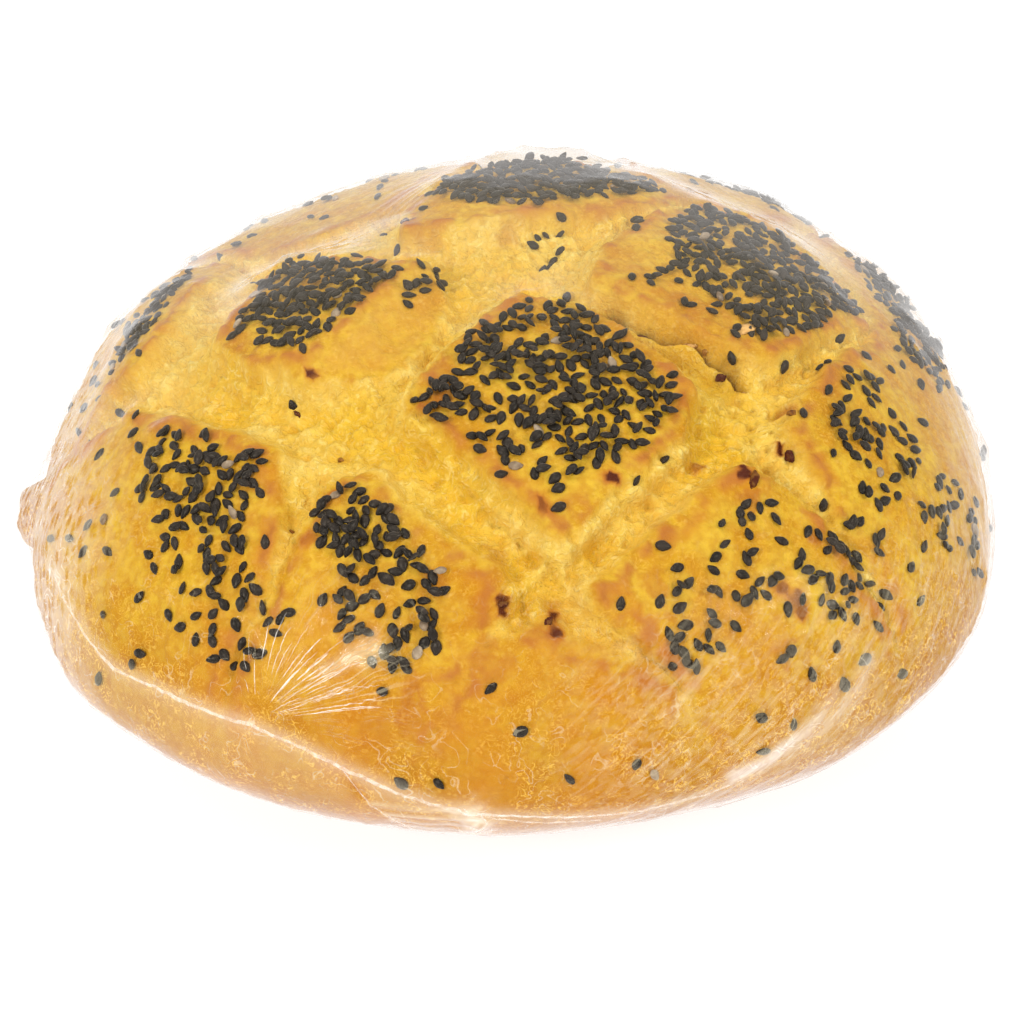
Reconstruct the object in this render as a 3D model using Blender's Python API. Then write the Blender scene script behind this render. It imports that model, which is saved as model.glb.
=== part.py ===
"""A scored round loaf with sesame on its crust, wrapped tight in clear film.

The film lies on the loaf like a skin, so loaf, seeds and film are one closed solid.
Units are metres, +Z is up, the loaf stands on z = 0 and its box is centred on the Z axis.
"""

import math
import random

import bmesh
import bpy
import numpy as np
from mathutils import Matrix, Vector
from mathutils.bvhtree import BVHTree

NAME = "wrapped_boule"

# The loaf's profile: a flat foot, a skirt that flares to the belly, and a domed crown.
LOAF_RADIUS = 0.1080
FOOT_RADIUS = 0.0656
BELLY_HEIGHT = 0.0344
CROWN_RISE = 0.0665
CROWN_POWER = 2.04
SKIRT_POWER = 1.25
CROWN_SHARE = 0.60
SKIRT_SHARE = 0.20
EDGE_ROUND = 0.045
ROUND_STEPS = 9

# How far the hand-shaped outline departs from a circle: (lobes, cosine part, sine part).
OUTLINE_WAVES = ((2, 0.0070, 0.0167), (3, -0.0062, -0.0029), (4, -0.0196, -0.0019),
                 (5, -0.0014, -0.0042))
# The dome leans this much sideways and backwards for each metre of height.
LEAN = (0.0146, 0.0370)

# A knob of dough that burst out at the left of the belly: azimuth, height, radius, rise.
KNOB_AZIMUTH = math.radians(183.0)
KNOB_HEIGHT = 0.034
KNOB_RADIUS = 0.011
KNOB_RISE = 0.0035
KNOB_FULLNESS = 1.5

# The cuts are laid out on a grid turned from the X axis. u runs to the right and near,
# v to the left and near, both in plan.
GRID_TURN = math.radians(-41.3)
GRID_CENTRE = (0.0024, -0.0011)
SIDE = 0.130

# Crust that the cuts left standing: the corners of each patch in (u, v).
CRUST_PATCHES = {
    "middle": ((0.013, 0.048), (0.011, 0.015), (0.021, 0.009), (0.050, 0.009),
               (0.055, 0.019), (0.052, 0.050)),
    "right_back": ((0.019, -0.001), (0.012, -0.013), (0.008, -0.038), (0.009, -0.052),
                   (0.021, -0.058), (0.045, -0.056), (0.053, -0.049), (0.054, -0.014),
                   (0.050, -0.009), (0.034, -0.005), (0.026, -0.001)),
    "top": ((-0.027, 0.006), (-0.042, -0.011), (-0.039, -0.045), (-0.025, -0.051),
            (0.001, -0.052), (0.003, -0.041), (-0.001, -0.028), (-0.018, -0.008)),
    "left_back": ((-0.038, 0.051), (-0.044, 0.029), (-0.028, 0.022), (-0.016, 0.019),
                  (-0.014, 0.038), (-0.013, 0.052), (-0.023, 0.055)),
    "left_side": ((-0.043, 0.076), (-0.021, 0.075), (-0.003, 0.073), (0.005, 0.080),
                  (0.011, 0.092), (0.013, SIDE), (-SIDE, SIDE), (-SIDE, 0.104),
                  (-0.060, 0.084)),
    "left_front": ((0.014, 0.072), (0.018, 0.067), (0.032, 0.069), (0.048, 0.065),
                   (0.051, 0.072), (0.050, 0.084), (0.048, SIDE), (0.018, SIDE),
                   (0.017, 0.092)),
    "front": ((0.055, 0.074), (0.061, 0.064), (0.067, 0.062), (0.080, 0.053),
              (SIDE, 0.045), (SIDE, SIDE), (0.052, SIDE), (0.054, 0.090)),
    "right_front": ((0.065, 0.052), (0.067, 0.043), (0.068, 0.029), (0.070, 0.014),
                    (0.084, 0.009), (SIDE, 0.007), (SIDE, 0.041), (0.078, 0.048)),
    "right_side": ((0.022, -0.080), (0.038, -0.073), (0.054, -0.059), (0.061, -0.046),
                   (0.063, -0.030), (0.066, -0.014), (0.070, -0.004), (0.082, 0.001),
                   (SIDE, 0.003), (SIDE, -SIDE), (0.018, -SIDE)),
    "back": ((-0.034, -0.073), (-0.018, -0.067), (0.001, -0.069), (0.009, -0.079),
             (0.010, -SIDE), (-0.036, -SIDE)),
    "back_corner": ((-0.063, -0.062), (-0.055, -0.067), (-0.047, -0.078), (-0.047, -SIDE),
                    (-SIDE, -SIDE), (-SIDE, -0.060), (-0.076, -0.058)),
    "left_far": ((-0.058, 0.008), (-0.054, -0.004), (-0.053, -0.040), (-0.060, -0.050),
                 (-0.076, -0.049), (-SIDE, -0.050), (-SIDE, 0.010), (-0.076, 0.012)),
    "left_edge": ((-0.076, 0.022), (-0.068, 0.036), (-0.060, 0.050), (-0.058, 0.062),
                  (-0.072, 0.070), (-SIDE, 0.088), (-SIDE, 0.018)),
}
CORNER_ROUND = 0.002

# A ramp of crust runs down from the left back patch; these are its corners in (u, v).
RAMP_TOP = "left_back"
RAMP = ((-0.038, 0.054), (-0.030, 0.022), (-0.015, 0.015), (-0.004, 0.022),
        (0.003, 0.034), (0.001, 0.046), (-0.010, 0.056))
RAMP_DROP = 0.0035
RAMP_RUN = 0.014

# The floor of each cut: its depth and the points of its line in (u, v).
CUTS = (
    (0.0065, ((-SIDE, 0.096), (-0.070, 0.076), (-0.044, 0.066), (-0.020, 0.063), (0.006, 0.060))),
    (0.0080, ((0.006, 0.060), (0.016, 0.052), (0.032, 0.0545), (0.054, 0.0545))),
    (0.0050, ((0.006, 0.060), (0.0115, 0.074), (0.0145, 0.092), (0.0155, SIDE))),
    (0.0060, ((0.006, 0.060), (0.0095, 0.048), (0.009, 0.034), (0.003, 0.016), (0.000, 0.003))),
    (0.0060, ((0.000, 0.003), (-0.014, 0.010), (-0.032, 0.013), (-0.056, 0.016), (-SIDE, 0.014))),
    (0.0060, ((0.000, 0.003), (0.000, -0.014), (0.005, -0.034), (0.006, -0.060), (0.014, -SIDE))),
    (0.0090, ((0.000, 0.003), (0.018, 0.003), (0.030, 0.001), (0.044, -0.004), (0.058, -0.004))),
    (0.0070, ((0.058, -0.004), (0.060, 0.014), (0.058, 0.036), (0.055, 0.0545))),
    (0.0065, ((0.058, -0.004), (0.070, 0.004), (0.084, 0.005), (SIDE, 0.005))),
    (0.0060, ((0.058, -0.004), (0.059, -0.030), (0.056, -0.052), (0.020, -0.070))),
    (0.0055, ((0.020, -0.070), (0.006, -0.062), (-0.030, -0.060), (-0.048, -0.056))),
    (0.0050, ((-0.048, -0.056), (-0.066, -0.0545), (-SIDE, -0.055))),
    (0.0050, ((-0.048, -0.056), (-0.041, -0.076), (-0.041, -SIDE))),
    (0.0055, ((-0.048, -0.056), (-0.048, -0.020), (-0.046, 0.012), (-0.054, 0.040), (-0.050, 0.068))),
    (0.0055, ((0.054, 0.0545), (0.058, 0.066))),
    (0.0040, ((0.054, 0.0545), (0.052, 0.070), (0.052, 0.088), (0.050, SIDE))),
    (0.0050, ((0.054, 0.0545), (0.068, 0.0545), (0.080, 0.0495), (SIDE, 0.043))),
)
BLEND_REACH = 0.001
BLEND_POWER = 4
FULL_CUT = 0.007
WALL_SHARE = 0.50
WALL_END = 0.35
SHOULDER = 0.0035
SHOULDER_DROP = 0.0007
CUTS_END_LOW = 0.036
CUTS_END_HIGH = 0.060

# Sesame on the crust: real size, how far apart, and where.
SEED_LENGTH = 0.0034
SEED_WIDTH = 0.0021
SEED_THICK = 0.0013
SEED_TAPER = 0.45
SEED_SEGMENTS = 6
SEED_RINGS = 4
SEED_COUNT = 165
SEED_SPACING = 0.0056
SEED_RANDOM = 43
SEED_EDGE = 0.0015
SEED_LOWEST = 0.050
SEED_REACH = 0.100

# The crust's mesh: a ball of many small faces, thinned where it is smooth.
BALL_SUBDIVISIONS = 7
CRUST_TRIANGLES = 4900
WELD = 0.00001


def smooth(value):
    """Ease from 0 to 1 between 0 and 1."""
    value = np.clip(value, 0.0, 1.0)
    return value * value * (3.0 - 2.0 * value)


def segment_distance(points, start, end):
    """Distance of each plan point to the segment from start to end."""
    along = end - start
    share = np.clip((points - start) @ along / (along @ along), 0.0, 1.0)
    return np.linalg.norm(points - start - share[:, None] * along, axis=1)


def line_distance(points, corners):
    """Distance of each plan point to an open line."""
    corners = np.array(corners)
    pairs = zip(corners[:-1], corners[1:])
    return np.min([segment_distance(points, start, end) for start, end in pairs], axis=0)


def patch_distance(points, corners):
    """Signed distance of each plan point to a patch, negative inside it."""
    closed = np.array(corners + corners[:1])
    inside = np.zeros(len(points), dtype=bool)
    for start, end in zip(closed[:-1], closed[1:]):
        crosses = (start[1] > points[:, 1]) != (end[1] > points[:, 1])
        rise = end[1] - start[1] if end[1] != start[1] else WELD
        at = start[0] + (points[:, 1] - start[1]) * (end[0] - start[0]) / rise
        inside ^= crosses & (points[:, 0] < at)
    return np.where(inside, -1.0, 1.0) * line_distance(points, closed)


def raw_profile(share):
    """Radius and height of the profile before its edges are rounded."""
    side = np.sign(share) * np.sign(1.0 - share)
    share = np.where(share > 1.0, 2.0 - share, np.abs(share))
    rise = np.clip(1.0 - share / CROWN_SHARE, 0.0, 1.0) * math.pi / 2
    fall = np.clip((share - CROWN_SHARE) / SKIRT_SHARE, 0.0, 1.0) * math.pi / 2
    foot = np.clip((share - CROWN_SHARE - SKIRT_SHARE) / (1.0 - CROWN_SHARE - SKIRT_SHARE), 0.0, 1.0)
    crown_radius = LOAF_RADIUS * np.cos(rise) ** (2.0 / CROWN_POWER)
    crown_height = BELLY_HEIGHT + CROWN_RISE * np.sin(rise) ** (2.0 / CROWN_POWER)
    flare = np.abs(np.cos(fall)) ** (2.0 / SKIRT_POWER)
    skirt_radius = FOOT_RADIUS + (LOAF_RADIUS - FOOT_RADIUS) * flare
    skirt_height = BELLY_HEIGHT * (1.0 - np.sin(fall) ** (2.0 / SKIRT_POWER))
    radius = np.where(share < CROWN_SHARE, crown_radius, skirt_radius)
    height = np.where(share < CROWN_SHARE, crown_height, skirt_height)
    radius = np.where(foot > 0.0, FOOT_RADIUS * (1.0 - foot), radius)
    return side * radius, np.where(foot > 0.0, 0.0, height)


def profile(share):
    """Radius and height of the profile; averaging over a short stretch rounds its edges."""
    steps = np.linspace(-EDGE_ROUND, EDGE_ROUND, ROUND_STEPS)
    radii, heights = zip(*[raw_profile(share + step) for step in steps])
    return np.mean(radii, axis=0), np.mean(heights, axis=0)


def loaf_point(share, azimuth):
    """Points of the smooth loaf; share runs from 0 at the crown to 1 at the foot's centre."""
    radius, height = profile(share)
    swell = np.ones_like(azimuth)
    for lobes, cosine, sine in OUTLINE_WAVES:
        swell += cosine * np.cos(lobes * azimuth) + sine * np.sin(lobes * azimuth)
    x = radius * swell * np.cos(azimuth) + LEAN[0] * height
    y = radius * swell * np.sin(azimuth) + LEAN[1] * height
    return np.stack([x, y, height], axis=1)


def grid_place(points):
    """Plan coordinates (u, v) of points along the cuts."""
    across = points[:, 0] - GRID_CENTRE[0]
    back = points[:, 1] - GRID_CENTRE[1]
    u = across * math.cos(GRID_TURN) + back * math.sin(GRID_TURN)
    v = across * math.sin(GRID_TURN) - back * math.cos(GRID_TURN)
    return np.stack([u, v], axis=1)


def crust_distance(plan):
    """Signed distance to the nearest patch of crust, negative on the crust."""
    patches = [patch_distance(plan, corners) for corners in CRUST_PATCHES.values()]
    return np.min(patches, axis=0) - CORNER_ROUND


def ramp_fall(plan):
    """Signed distance to the ramp, and how far its crust has dropped at each point."""
    on_ramp = patch_distance(plan, RAMP)
    below_top = np.maximum(patch_distance(plan, CRUST_PATCHES[RAMP_TOP]), 0.0)
    return on_ramp, RAMP_DROP * smooth(below_top / RAMP_RUN)


def floor_depth(plan):
    """Depth of the cuts' floor, blended from the lines nearest to each point."""
    distances = np.array([line_distance(plan, line) for _, line in CUTS])
    depths = np.array([depth for depth, _ in CUTS])[:, None]
    weights = 1.0 / (distances + BLEND_REACH) ** BLEND_POWER
    return (depths * weights).sum(axis=0) / weights.sum(axis=0), distances.min(axis=0)


def cut_depth(plan):
    """Depth of the cuts below the dome: steep by the crust, then a slope to the floor line."""
    crust = crust_distance(plan)
    on_ramp, ramp_drop = ramp_fall(plan)
    rim_depth = np.where(on_ramp < crust, ramp_drop, 0.0)
    away = np.maximum(np.minimum(crust, on_ramp), 0.0)
    floor, to_floor = floor_depth(plan)
    width = away + to_floor
    share = away / (width + WELD)
    fall = WALL_SHARE * smooth(share / WALL_END) + (1.0 - WALL_SHARE) * share
    groove = np.maximum(floor - rim_depth, 0.0) * fall * smooth(width / FULL_CUT)
    shoulder = SHOULDER_DROP * smooth(1.0 + crust / SHOULDER)
    return rim_depth + groove + shoulder


def knob_rise(points):
    """Outward rise of the knob at the belly."""
    centre_x = LOAF_RADIUS * math.cos(KNOB_AZIMUTH)
    centre_y = LOAF_RADIUS * math.sin(KNOB_AZIMUTH)
    away = np.linalg.norm(points - np.array([centre_x, centre_y, KNOB_HEIGHT]), axis=1)
    return KNOB_RISE * smooth(KNOB_FULLNESS * (1.0 - away / KNOB_RADIUS))


def ball_faces():
    """A unit ball of even triangles."""
    mesh = bmesh.new()
    bmesh.ops.create_icosphere(mesh, subdivisions=BALL_SUBDIVISIONS, radius=1.0)
    return mesh


def shape_crust(mesh):
    """Move the ball's points onto the loaf, then press the cuts in along the normals."""
    ball = np.array([vertex.co for vertex in mesh.verts])
    share = np.arccos(np.clip(ball[:, 2], -1.0, 1.0)) / math.pi
    azimuth = np.arctan2(ball[:, 1], ball[:, 0])
    points = loaf_point(share, azimuth)
    for vertex, point in zip(mesh.verts, points):
        vertex.co = point
    mesh.normal_update()
    normals = np.array([vertex.normal for vertex in mesh.verts])
    fade = smooth((points[:, 2] - CUTS_END_LOW) / (CUTS_END_HIGH - CUTS_END_LOW))
    push = knob_rise(points) - cut_depth(grid_place(points)) * fade
    for vertex, point in zip(mesh.verts, points + normals * push[:, None]):
        vertex.co = point


def new_object(name, mesh, collection):
    """Link a bmesh to the scene as a named object."""
    data = bpy.data.meshes.new(name)
    mesh.to_mesh(data)
    mesh.free()
    shape = bpy.data.objects.new(name, data)
    collection.objects.link(shape)
    return shape


def apply_modifiers(shape):
    """Turn an object's evaluated shape into its own mesh."""
    graph = bpy.context.evaluated_depsgraph_get()
    data = bpy.data.meshes.new_from_object(shape.evaluated_get(graph))
    shape.modifiers.clear()
    shape.data = data


def make_crust(collection):
    """The loaf without seeds, thinned to few triangles."""
    mesh = ball_faces()
    shape_crust(mesh)
    share = CRUST_TRIANGLES / len(mesh.faces)
    crust = new_object(NAME, mesh, collection)
    thin = crust.modifiers.new("thin", "DECIMATE")
    thin.ratio = share
    bpy.context.view_layer.update()
    apply_modifiers(crust)
    return crust


def seed_mesh():
    """A flat drop: a ball of few faces, stretched along X and narrowed towards one end."""
    mesh = bmesh.new()
    bmesh.ops.create_uvsphere(mesh, u_segments=SEED_SEGMENTS, v_segments=SEED_RINGS, radius=0.5)
    bmesh.ops.rotate(mesh, verts=mesh.verts, matrix=Matrix.Rotation(math.pi / 2, 3, "Y"))
    for vertex in mesh.verts:
        narrow = 1.0 - SEED_TAPER * max(vertex.co.x, 0.0)
        vertex.co.x *= SEED_LENGTH
        vertex.co.y *= SEED_WIDTH * narrow
        vertex.co.z *= SEED_THICK * narrow
    data = bpy.data.meshes.new("seed")
    mesh.to_mesh(data)
    mesh.free()
    return data


def seed_places(crust):
    """Points and normals spread evenly over the patches of crust."""
    tree = BVHTree.FromObject(crust, bpy.context.evaluated_depsgraph_get())
    draw = random.Random(SEED_RANDOM)
    places = []
    while len(places) < SEED_COUNT:
        across = draw.uniform(-SEED_REACH, SEED_REACH)
        back = draw.uniform(-SEED_REACH, SEED_REACH)
        hit = tree.ray_cast(Vector((across, back, 1.0)), Vector((0.0, 0.0, -1.0)))
        point, normal = hit[0], hit[1]
        if point is None or point.z < SEED_LOWEST:
            continue
        edge = crust_distance(grid_place(np.array([point])))[0]
        near = any((point - other).length < SEED_SPACING for other, _ in places)
        if edge < -SEED_EDGE and not near:
            places.append((point, normal))
    return places


def make_seeds(crust, collection):
    """Seeds half sunk in the crust, each turned its own way."""
    data = seed_mesh()
    draw = random.Random(SEED_RANDOM + 1)
    for number, (point, normal) in enumerate(seed_places(crust)):
        seed = bpy.data.objects.new(f"seed_{number:03d}", data)
        lie = normal.to_track_quat("Z", "Y").to_matrix().to_4x4()
        turn = Matrix.Rotation(draw.uniform(0.0, 2.0 * math.pi), 4, "Z")
        seed.matrix_world = Matrix.Translation(point) @ lie @ turn
        collection.objects.link(seed)


def join_seeds(crust, collection):
    """Fuse the seeds to the crust and drop their own objects."""
    bpy.context.view_layer.update()
    join = crust.modifiers.new("join", "BOOLEAN")
    join.operation = "UNION"
    join.operand_type = "COLLECTION"
    join.collection = collection
    apply_modifiers(crust)
    for seed in list(collection.objects):
        bpy.data.objects.remove(seed)
    bpy.data.collections.remove(collection)


def centre_on_foot(shape):
    """Put the middle of the box over the origin, in plan."""
    points = np.array([vertex.co for vertex in shape.data.vertices])
    middle = (points.min(axis=0) + points.max(axis=0)) / 2
    shape.data.transform(Matrix.Translation((-middle[0], -middle[1], 0.0)))


def linked_faces(first):
    """All faces of the body that a face belongs to."""
    body = {first}
    edge_of_body = [first]
    while edge_of_body:
        face = edge_of_body.pop()
        around = {other for edge in face.edges for other in edge.link_faces}
        edge_of_body.extend(around - body)
        body |= around
    return body


def drop_scraps(mesh):
    """Delete the loose scraps that joining left, and keep the largest body."""
    bodies = []
    left = set(mesh.faces)
    while left:
        body = linked_faces(next(iter(left)))
        bodies.append(body)
        left -= body
    bodies.sort(key=len)
    for scrap in bodies[:-1]:
        bmesh.ops.delete(mesh, geom=list(scrap), context="FACES")


def clean_mesh(shape):
    """Weld doubles, drop scraps, split into triangles and point every face outwards."""
    mesh = bmesh.new()
    mesh.from_mesh(shape.data)
    bmesh.ops.remove_doubles(mesh, verts=mesh.verts, dist=WELD)
    drop_scraps(mesh)
    bmesh.ops.dissolve_degenerate(mesh, edges=mesh.edges, dist=WELD)
    bmesh.ops.triangulate(mesh, faces=mesh.faces)
    bmesh.ops.recalc_face_normals(mesh, faces=mesh.faces)
    mesh.to_mesh(shape.data)
    mesh.free()
    shape.data.shade_smooth()
    shape.data.set_sharp_from_angle(angle=math.radians(40.0))


def crust_material():
    """Golden crust under clear film."""
    material = bpy.data.materials.new("golden_crust")
    material.use_nodes = True
    shader = material.node_tree.nodes["Principled BSDF"]
    shader.inputs["Base Color"].default_value = (0.78, 0.46, 0.10, 1.0)
    shader.inputs["Roughness"].default_value = 0.45
    shader.inputs["Metallic"].default_value = 0.0
    return material


def new_collection(name):
    """A collection linked to the scene."""
    collection = bpy.data.collections.new(name)
    bpy.context.scene.collection.children.link(collection)
    return collection


def main():
    """Build the loaf."""
    for old in list(bpy.data.objects):
        bpy.data.objects.remove(old)
    parts = new_collection(NAME)
    seeds = new_collection("seeds_to_join")
    boule = make_crust(parts)
    make_seeds(boule, seeds)
    join_seeds(boule, seeds)
    clean_mesh(boule)
    centre_on_foot(boule)
    boule.data.materials.clear()
    boule.data.materials.append(crust_material())


main()
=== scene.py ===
"""A scored round loaf with black sesame on its crust, wrapped tight in clear film.

The pieces are the loaf, the crumbs in its cuts, the black and the pale sesame, the film, and the
ribbons where the film is doubled. Lengths are metres, or millimetres where a name or a comment
says so.
"""

import itertools
import math
import random

import bmesh
import bpy
import numpy as np
from mathutils import Matrix, Vector, noise
from mathutils.bvhtree import BVHTree
from mathutils.kdtree import KDTree


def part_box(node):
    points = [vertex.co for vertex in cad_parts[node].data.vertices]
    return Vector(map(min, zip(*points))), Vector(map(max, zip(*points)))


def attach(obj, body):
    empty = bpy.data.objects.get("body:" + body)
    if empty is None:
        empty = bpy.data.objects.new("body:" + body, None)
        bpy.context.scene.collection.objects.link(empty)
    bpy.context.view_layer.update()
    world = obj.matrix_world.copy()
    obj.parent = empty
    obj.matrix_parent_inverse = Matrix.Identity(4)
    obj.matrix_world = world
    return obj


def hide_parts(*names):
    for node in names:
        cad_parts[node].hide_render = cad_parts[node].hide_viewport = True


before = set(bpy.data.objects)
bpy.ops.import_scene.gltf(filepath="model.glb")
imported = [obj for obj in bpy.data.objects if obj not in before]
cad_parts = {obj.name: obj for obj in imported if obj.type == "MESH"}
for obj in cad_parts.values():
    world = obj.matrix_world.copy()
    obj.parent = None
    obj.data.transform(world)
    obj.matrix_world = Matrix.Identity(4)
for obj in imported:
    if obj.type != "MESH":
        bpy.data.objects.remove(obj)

NODE = "wrapped_boule"
BODY = "root"
MM = 0.001
# Vectors of noise follow the clock unless they are given a seed.
NOISE_SEED = 7

# The photograph's view: the camera looks down at the loaf from the front.
VIEW_DOWN = math.radians(34.6)
VIEW_AWAY = 0.5
VIEW_AIM = (0.00206, -0.00143, 0.04)
VIEW_LENS = 77.59
VIEW_SENSOR = 36.0
VIEW_SHIFT = (0.00166, -0.0287)

# The loaf's profile: a flat foot, a skirt that flares to the belly, and a domed crown.
LOAF_RADIUS = 0.1080
FOOT_RADIUS = 0.0656
BELLY_HEIGHT = 0.0344
CROWN_RISE = 0.0665
CROWN_POWER = 2.04
SKIRT_POWER = 1.25
CROWN_SHARE = 0.60
SKIRT_SHARE = 0.20
EDGE_ROUND = 0.045
ROUND_STEPS = 9
OUTLINE_WAVES = ((2, 0.0070, 0.0167), (3, -0.0062, -0.0029), (4, -0.0196, -0.0019),
                 (5, -0.0014, -0.0042))
LEAN = (0.0146, 0.0370)

# A knob of dough that burst out at the left of the belly.
KNOB_AZIMUTH = math.radians(183.0)
KNOB_HEIGHT = 0.034
KNOB_RADIUS = 0.0105
KNOB_RISE = 0.0050
KNOB_FULLNESS = 2.0

# Places where the dough sank below its smooth outline: middle, depth and width in millimetres.
SUNKEN_MM = (
    ((-108, -6, 49), 4.2, 9.0), ((-108, -6, 19), 2.4, 8.0), ((-99, -8, 52), 3.0, 9.0),
    ((-92, 10, 68), 2.8, 12.0), ((-95, -6, 62), 3.4, 12.0), ((-102, -28, 31), 3.0, 9.0),
    ((-97, -48, 28), 0.6, 11.0), ((-29, 42, 92), 2.4, 13.0), ((-50, 42, 85), 5.6, 25.0),
    ((-62, 30, 84), 2.4, 11.0), ((56, 48, 84), 4.0, 14.0), ((36, 55, 89), 2.4, 12.0),
)
# Places where it stands proud: the torn corner of a patch, and the left of the belly.
RAISED_MM = (((46, -58, 79), 1.5, 5.0), ((-90, -57, 28), 2.0, 12.0), ((30, -62, 82), 0.8, 5.0))
# Places where only the film stands off, behind the crown.
LIFTED_MM = (((-5, 58, 91), 2.0, 12.0), ((16, 56, 92), 1.2, 10.0))

# The cuts are laid out on a grid: u runs to the right and near, v to the left and near.
GRID_TURN = math.radians(-41.3)
GRID_CENTRE = (0.0024, -0.0011)
SIDE = 0.130

# Crust that the cuts left standing: the corners of each patch in (u, v).
CRUST_PATCHES = {
    "middle": ((0.013, 0.048), (0.011, 0.015), (0.021, 0.009), (0.050, 0.009),
               (0.055, 0.019), (0.052, 0.050)),
    "right_back": ((0.018, -0.0045), (0.012, -0.015), (0.008, -0.038), (0.009, -0.052),
                   (0.021, -0.058), (0.045, -0.056), (0.053, -0.049), (0.054, -0.015),
                   (0.050, -0.011), (0.043, -0.008), (0.036, -0.0075), (0.027, -0.0045)),
    "top": ((-0.027, 0.006), (-0.042, -0.011), (-0.039, -0.045), (-0.025, -0.051),
            (0.001, -0.052), (0.003, -0.041), (-0.001, -0.028), (-0.018, -0.008)),
    "left_back": ((-0.038, 0.051), (-0.044, 0.029), (-0.028, 0.022), (-0.016, 0.019),
                  (-0.014, 0.038), (-0.013, 0.052), (-0.023, 0.055)),
    "left_side": ((-0.043, 0.076), (-0.021, 0.075), (-0.003, 0.073), (0.005, 0.080),
                  (0.011, 0.092), (0.013, SIDE), (-SIDE, SIDE), (-SIDE, 0.104),
                  (-0.060, 0.084)),
    "left_front": ((0.014, 0.072), (0.018, 0.067), (0.032, 0.069), (0.048, 0.065),
                   (0.051, 0.072), (0.050, 0.084), (0.048, SIDE), (0.018, SIDE),
                   (0.017, 0.092)),
    "front": ((0.055, 0.074), (0.061, 0.064), (0.067, 0.062), (0.080, 0.053),
              (SIDE, 0.045), (SIDE, SIDE), (0.052, SIDE), (0.054, 0.090)),
    "right_front": ((0.065, 0.052), (0.067, 0.043), (0.068, 0.029), (0.070, 0.014),
                    (0.084, 0.009), (SIDE, 0.007), (SIDE, 0.041), (0.078, 0.048)),
    "right_side": ((0.022, -0.080), (0.038, -0.073), (0.054, -0.059), (0.061, -0.046),
                   (0.063, -0.030), (0.066, -0.014), (0.070, -0.004), (0.082, 0.001),
                   (SIDE, 0.003), (SIDE, -SIDE), (0.018, -SIDE)),
    "back": ((-0.034, -0.073), (-0.018, -0.067), (0.001, -0.069), (0.009, -0.079),
             (0.010, -SIDE), (-0.036, -SIDE)),
    "back_corner": ((-0.063, -0.062), (-0.055, -0.067), (-0.047, -0.078), (-0.047, -SIDE),
                    (-SIDE, -SIDE), (-SIDE, -0.060), (-0.076, -0.058)),
    "left_far": ((-0.058, 0.008), (-0.054, -0.004), (-0.053, -0.040), (-0.060, -0.050),
                 (-0.076, -0.049), (-SIDE, -0.050), (-SIDE, 0.010), (-0.076, 0.012)),
    "left_edge": ((-0.076, 0.022), (-0.068, 0.036), (-0.060, 0.050), (-0.058, 0.062),
                  (-0.072, 0.070), (-SIDE, 0.088), (-SIDE, 0.018)),
}
CORNER_ROUND = 0.002

# A ramp of crust runs down from the left back patch.
RAMP_TOP = "left_back"
RAMP = ((-0.038, 0.054), (-0.030, 0.022), (-0.015, 0.015), (-0.004, 0.022),
        (0.003, 0.034), (0.001, 0.046), (-0.010, 0.056))
RAMP_DROP = 0.0035
RAMP_RUN = 0.014

# The floor of each cut: its depth and the points of its line in (u, v).
CUTS = (
    (0.0065, ((-SIDE, 0.096), (-0.070, 0.076), (-0.044, 0.066), (-0.020, 0.063), (0.006, 0.060))),
    (0.0070, ((0.006, 0.060), (0.016, 0.052), (0.032, 0.0545), (0.054, 0.0545))),
    (0.0050, ((0.006, 0.060), (0.0115, 0.074), (0.0145, 0.092), (0.0155, SIDE))),
    (0.0060, ((0.006, 0.060), (0.0095, 0.048), (0.009, 0.034), (0.003, 0.016), (0.000, 0.003))),
    (0.0060, ((0.000, 0.003), (-0.014, 0.010), (-0.032, 0.013), (-0.056, 0.016), (-SIDE, 0.014))),
    (0.0060, ((0.000, 0.003), (0.000, -0.014), (0.005, -0.034), (0.006, -0.060), (0.014, -SIDE))),
    (0.0090, ((0.000, 0.003), (0.018, 0.003), (0.030, 0.001), (0.044, -0.004), (0.058, -0.004))),
    (0.0070, ((0.058, -0.004), (0.060, 0.014), (0.058, 0.036), (0.055, 0.0545))),
    (0.0065, ((0.058, -0.004), (0.070, 0.004), (0.084, 0.005), (SIDE, 0.005))),
    (0.0060, ((0.058, -0.004), (0.059, -0.030), (0.056, -0.052), (0.020, -0.070))),
    (0.0055, ((0.020, -0.070), (0.006, -0.062), (-0.030, -0.060), (-0.048, -0.056))),
    (0.0050, ((-0.048, -0.056), (-0.066, -0.0545), (-SIDE, -0.055))),
    (0.0050, ((-0.048, -0.056), (-0.041, -0.076), (-0.041, -SIDE))),
    (0.0055, ((-0.048, -0.056), (-0.048, -0.020), (-0.046, 0.012), (-0.054, 0.040),
              (-0.050, 0.068))),
    (0.0055, ((0.054, 0.0545), (0.058, 0.066))),
    (0.0040, ((0.054, 0.0545), (0.052, 0.070), (0.052, 0.088), (0.050, SIDE))),
    (0.0050, ((0.054, 0.0545), (0.068, 0.0545), (0.080, 0.0495), (SIDE, 0.043))),
)
BLEND_REACH = 0.001
BLEND_POWER = 4
FULL_CUT = 0.007
WALL_SHARE = 0.50
WALL_END = 0.35
SHOULDER = 0.0035
SHOULDER_DROP = 0.0007
CUTS_END_LOW = 0.036
CUTS_END_HIGH = 0.060
TINY = 0.00001
NO_LENGTH = 1e-20

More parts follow.
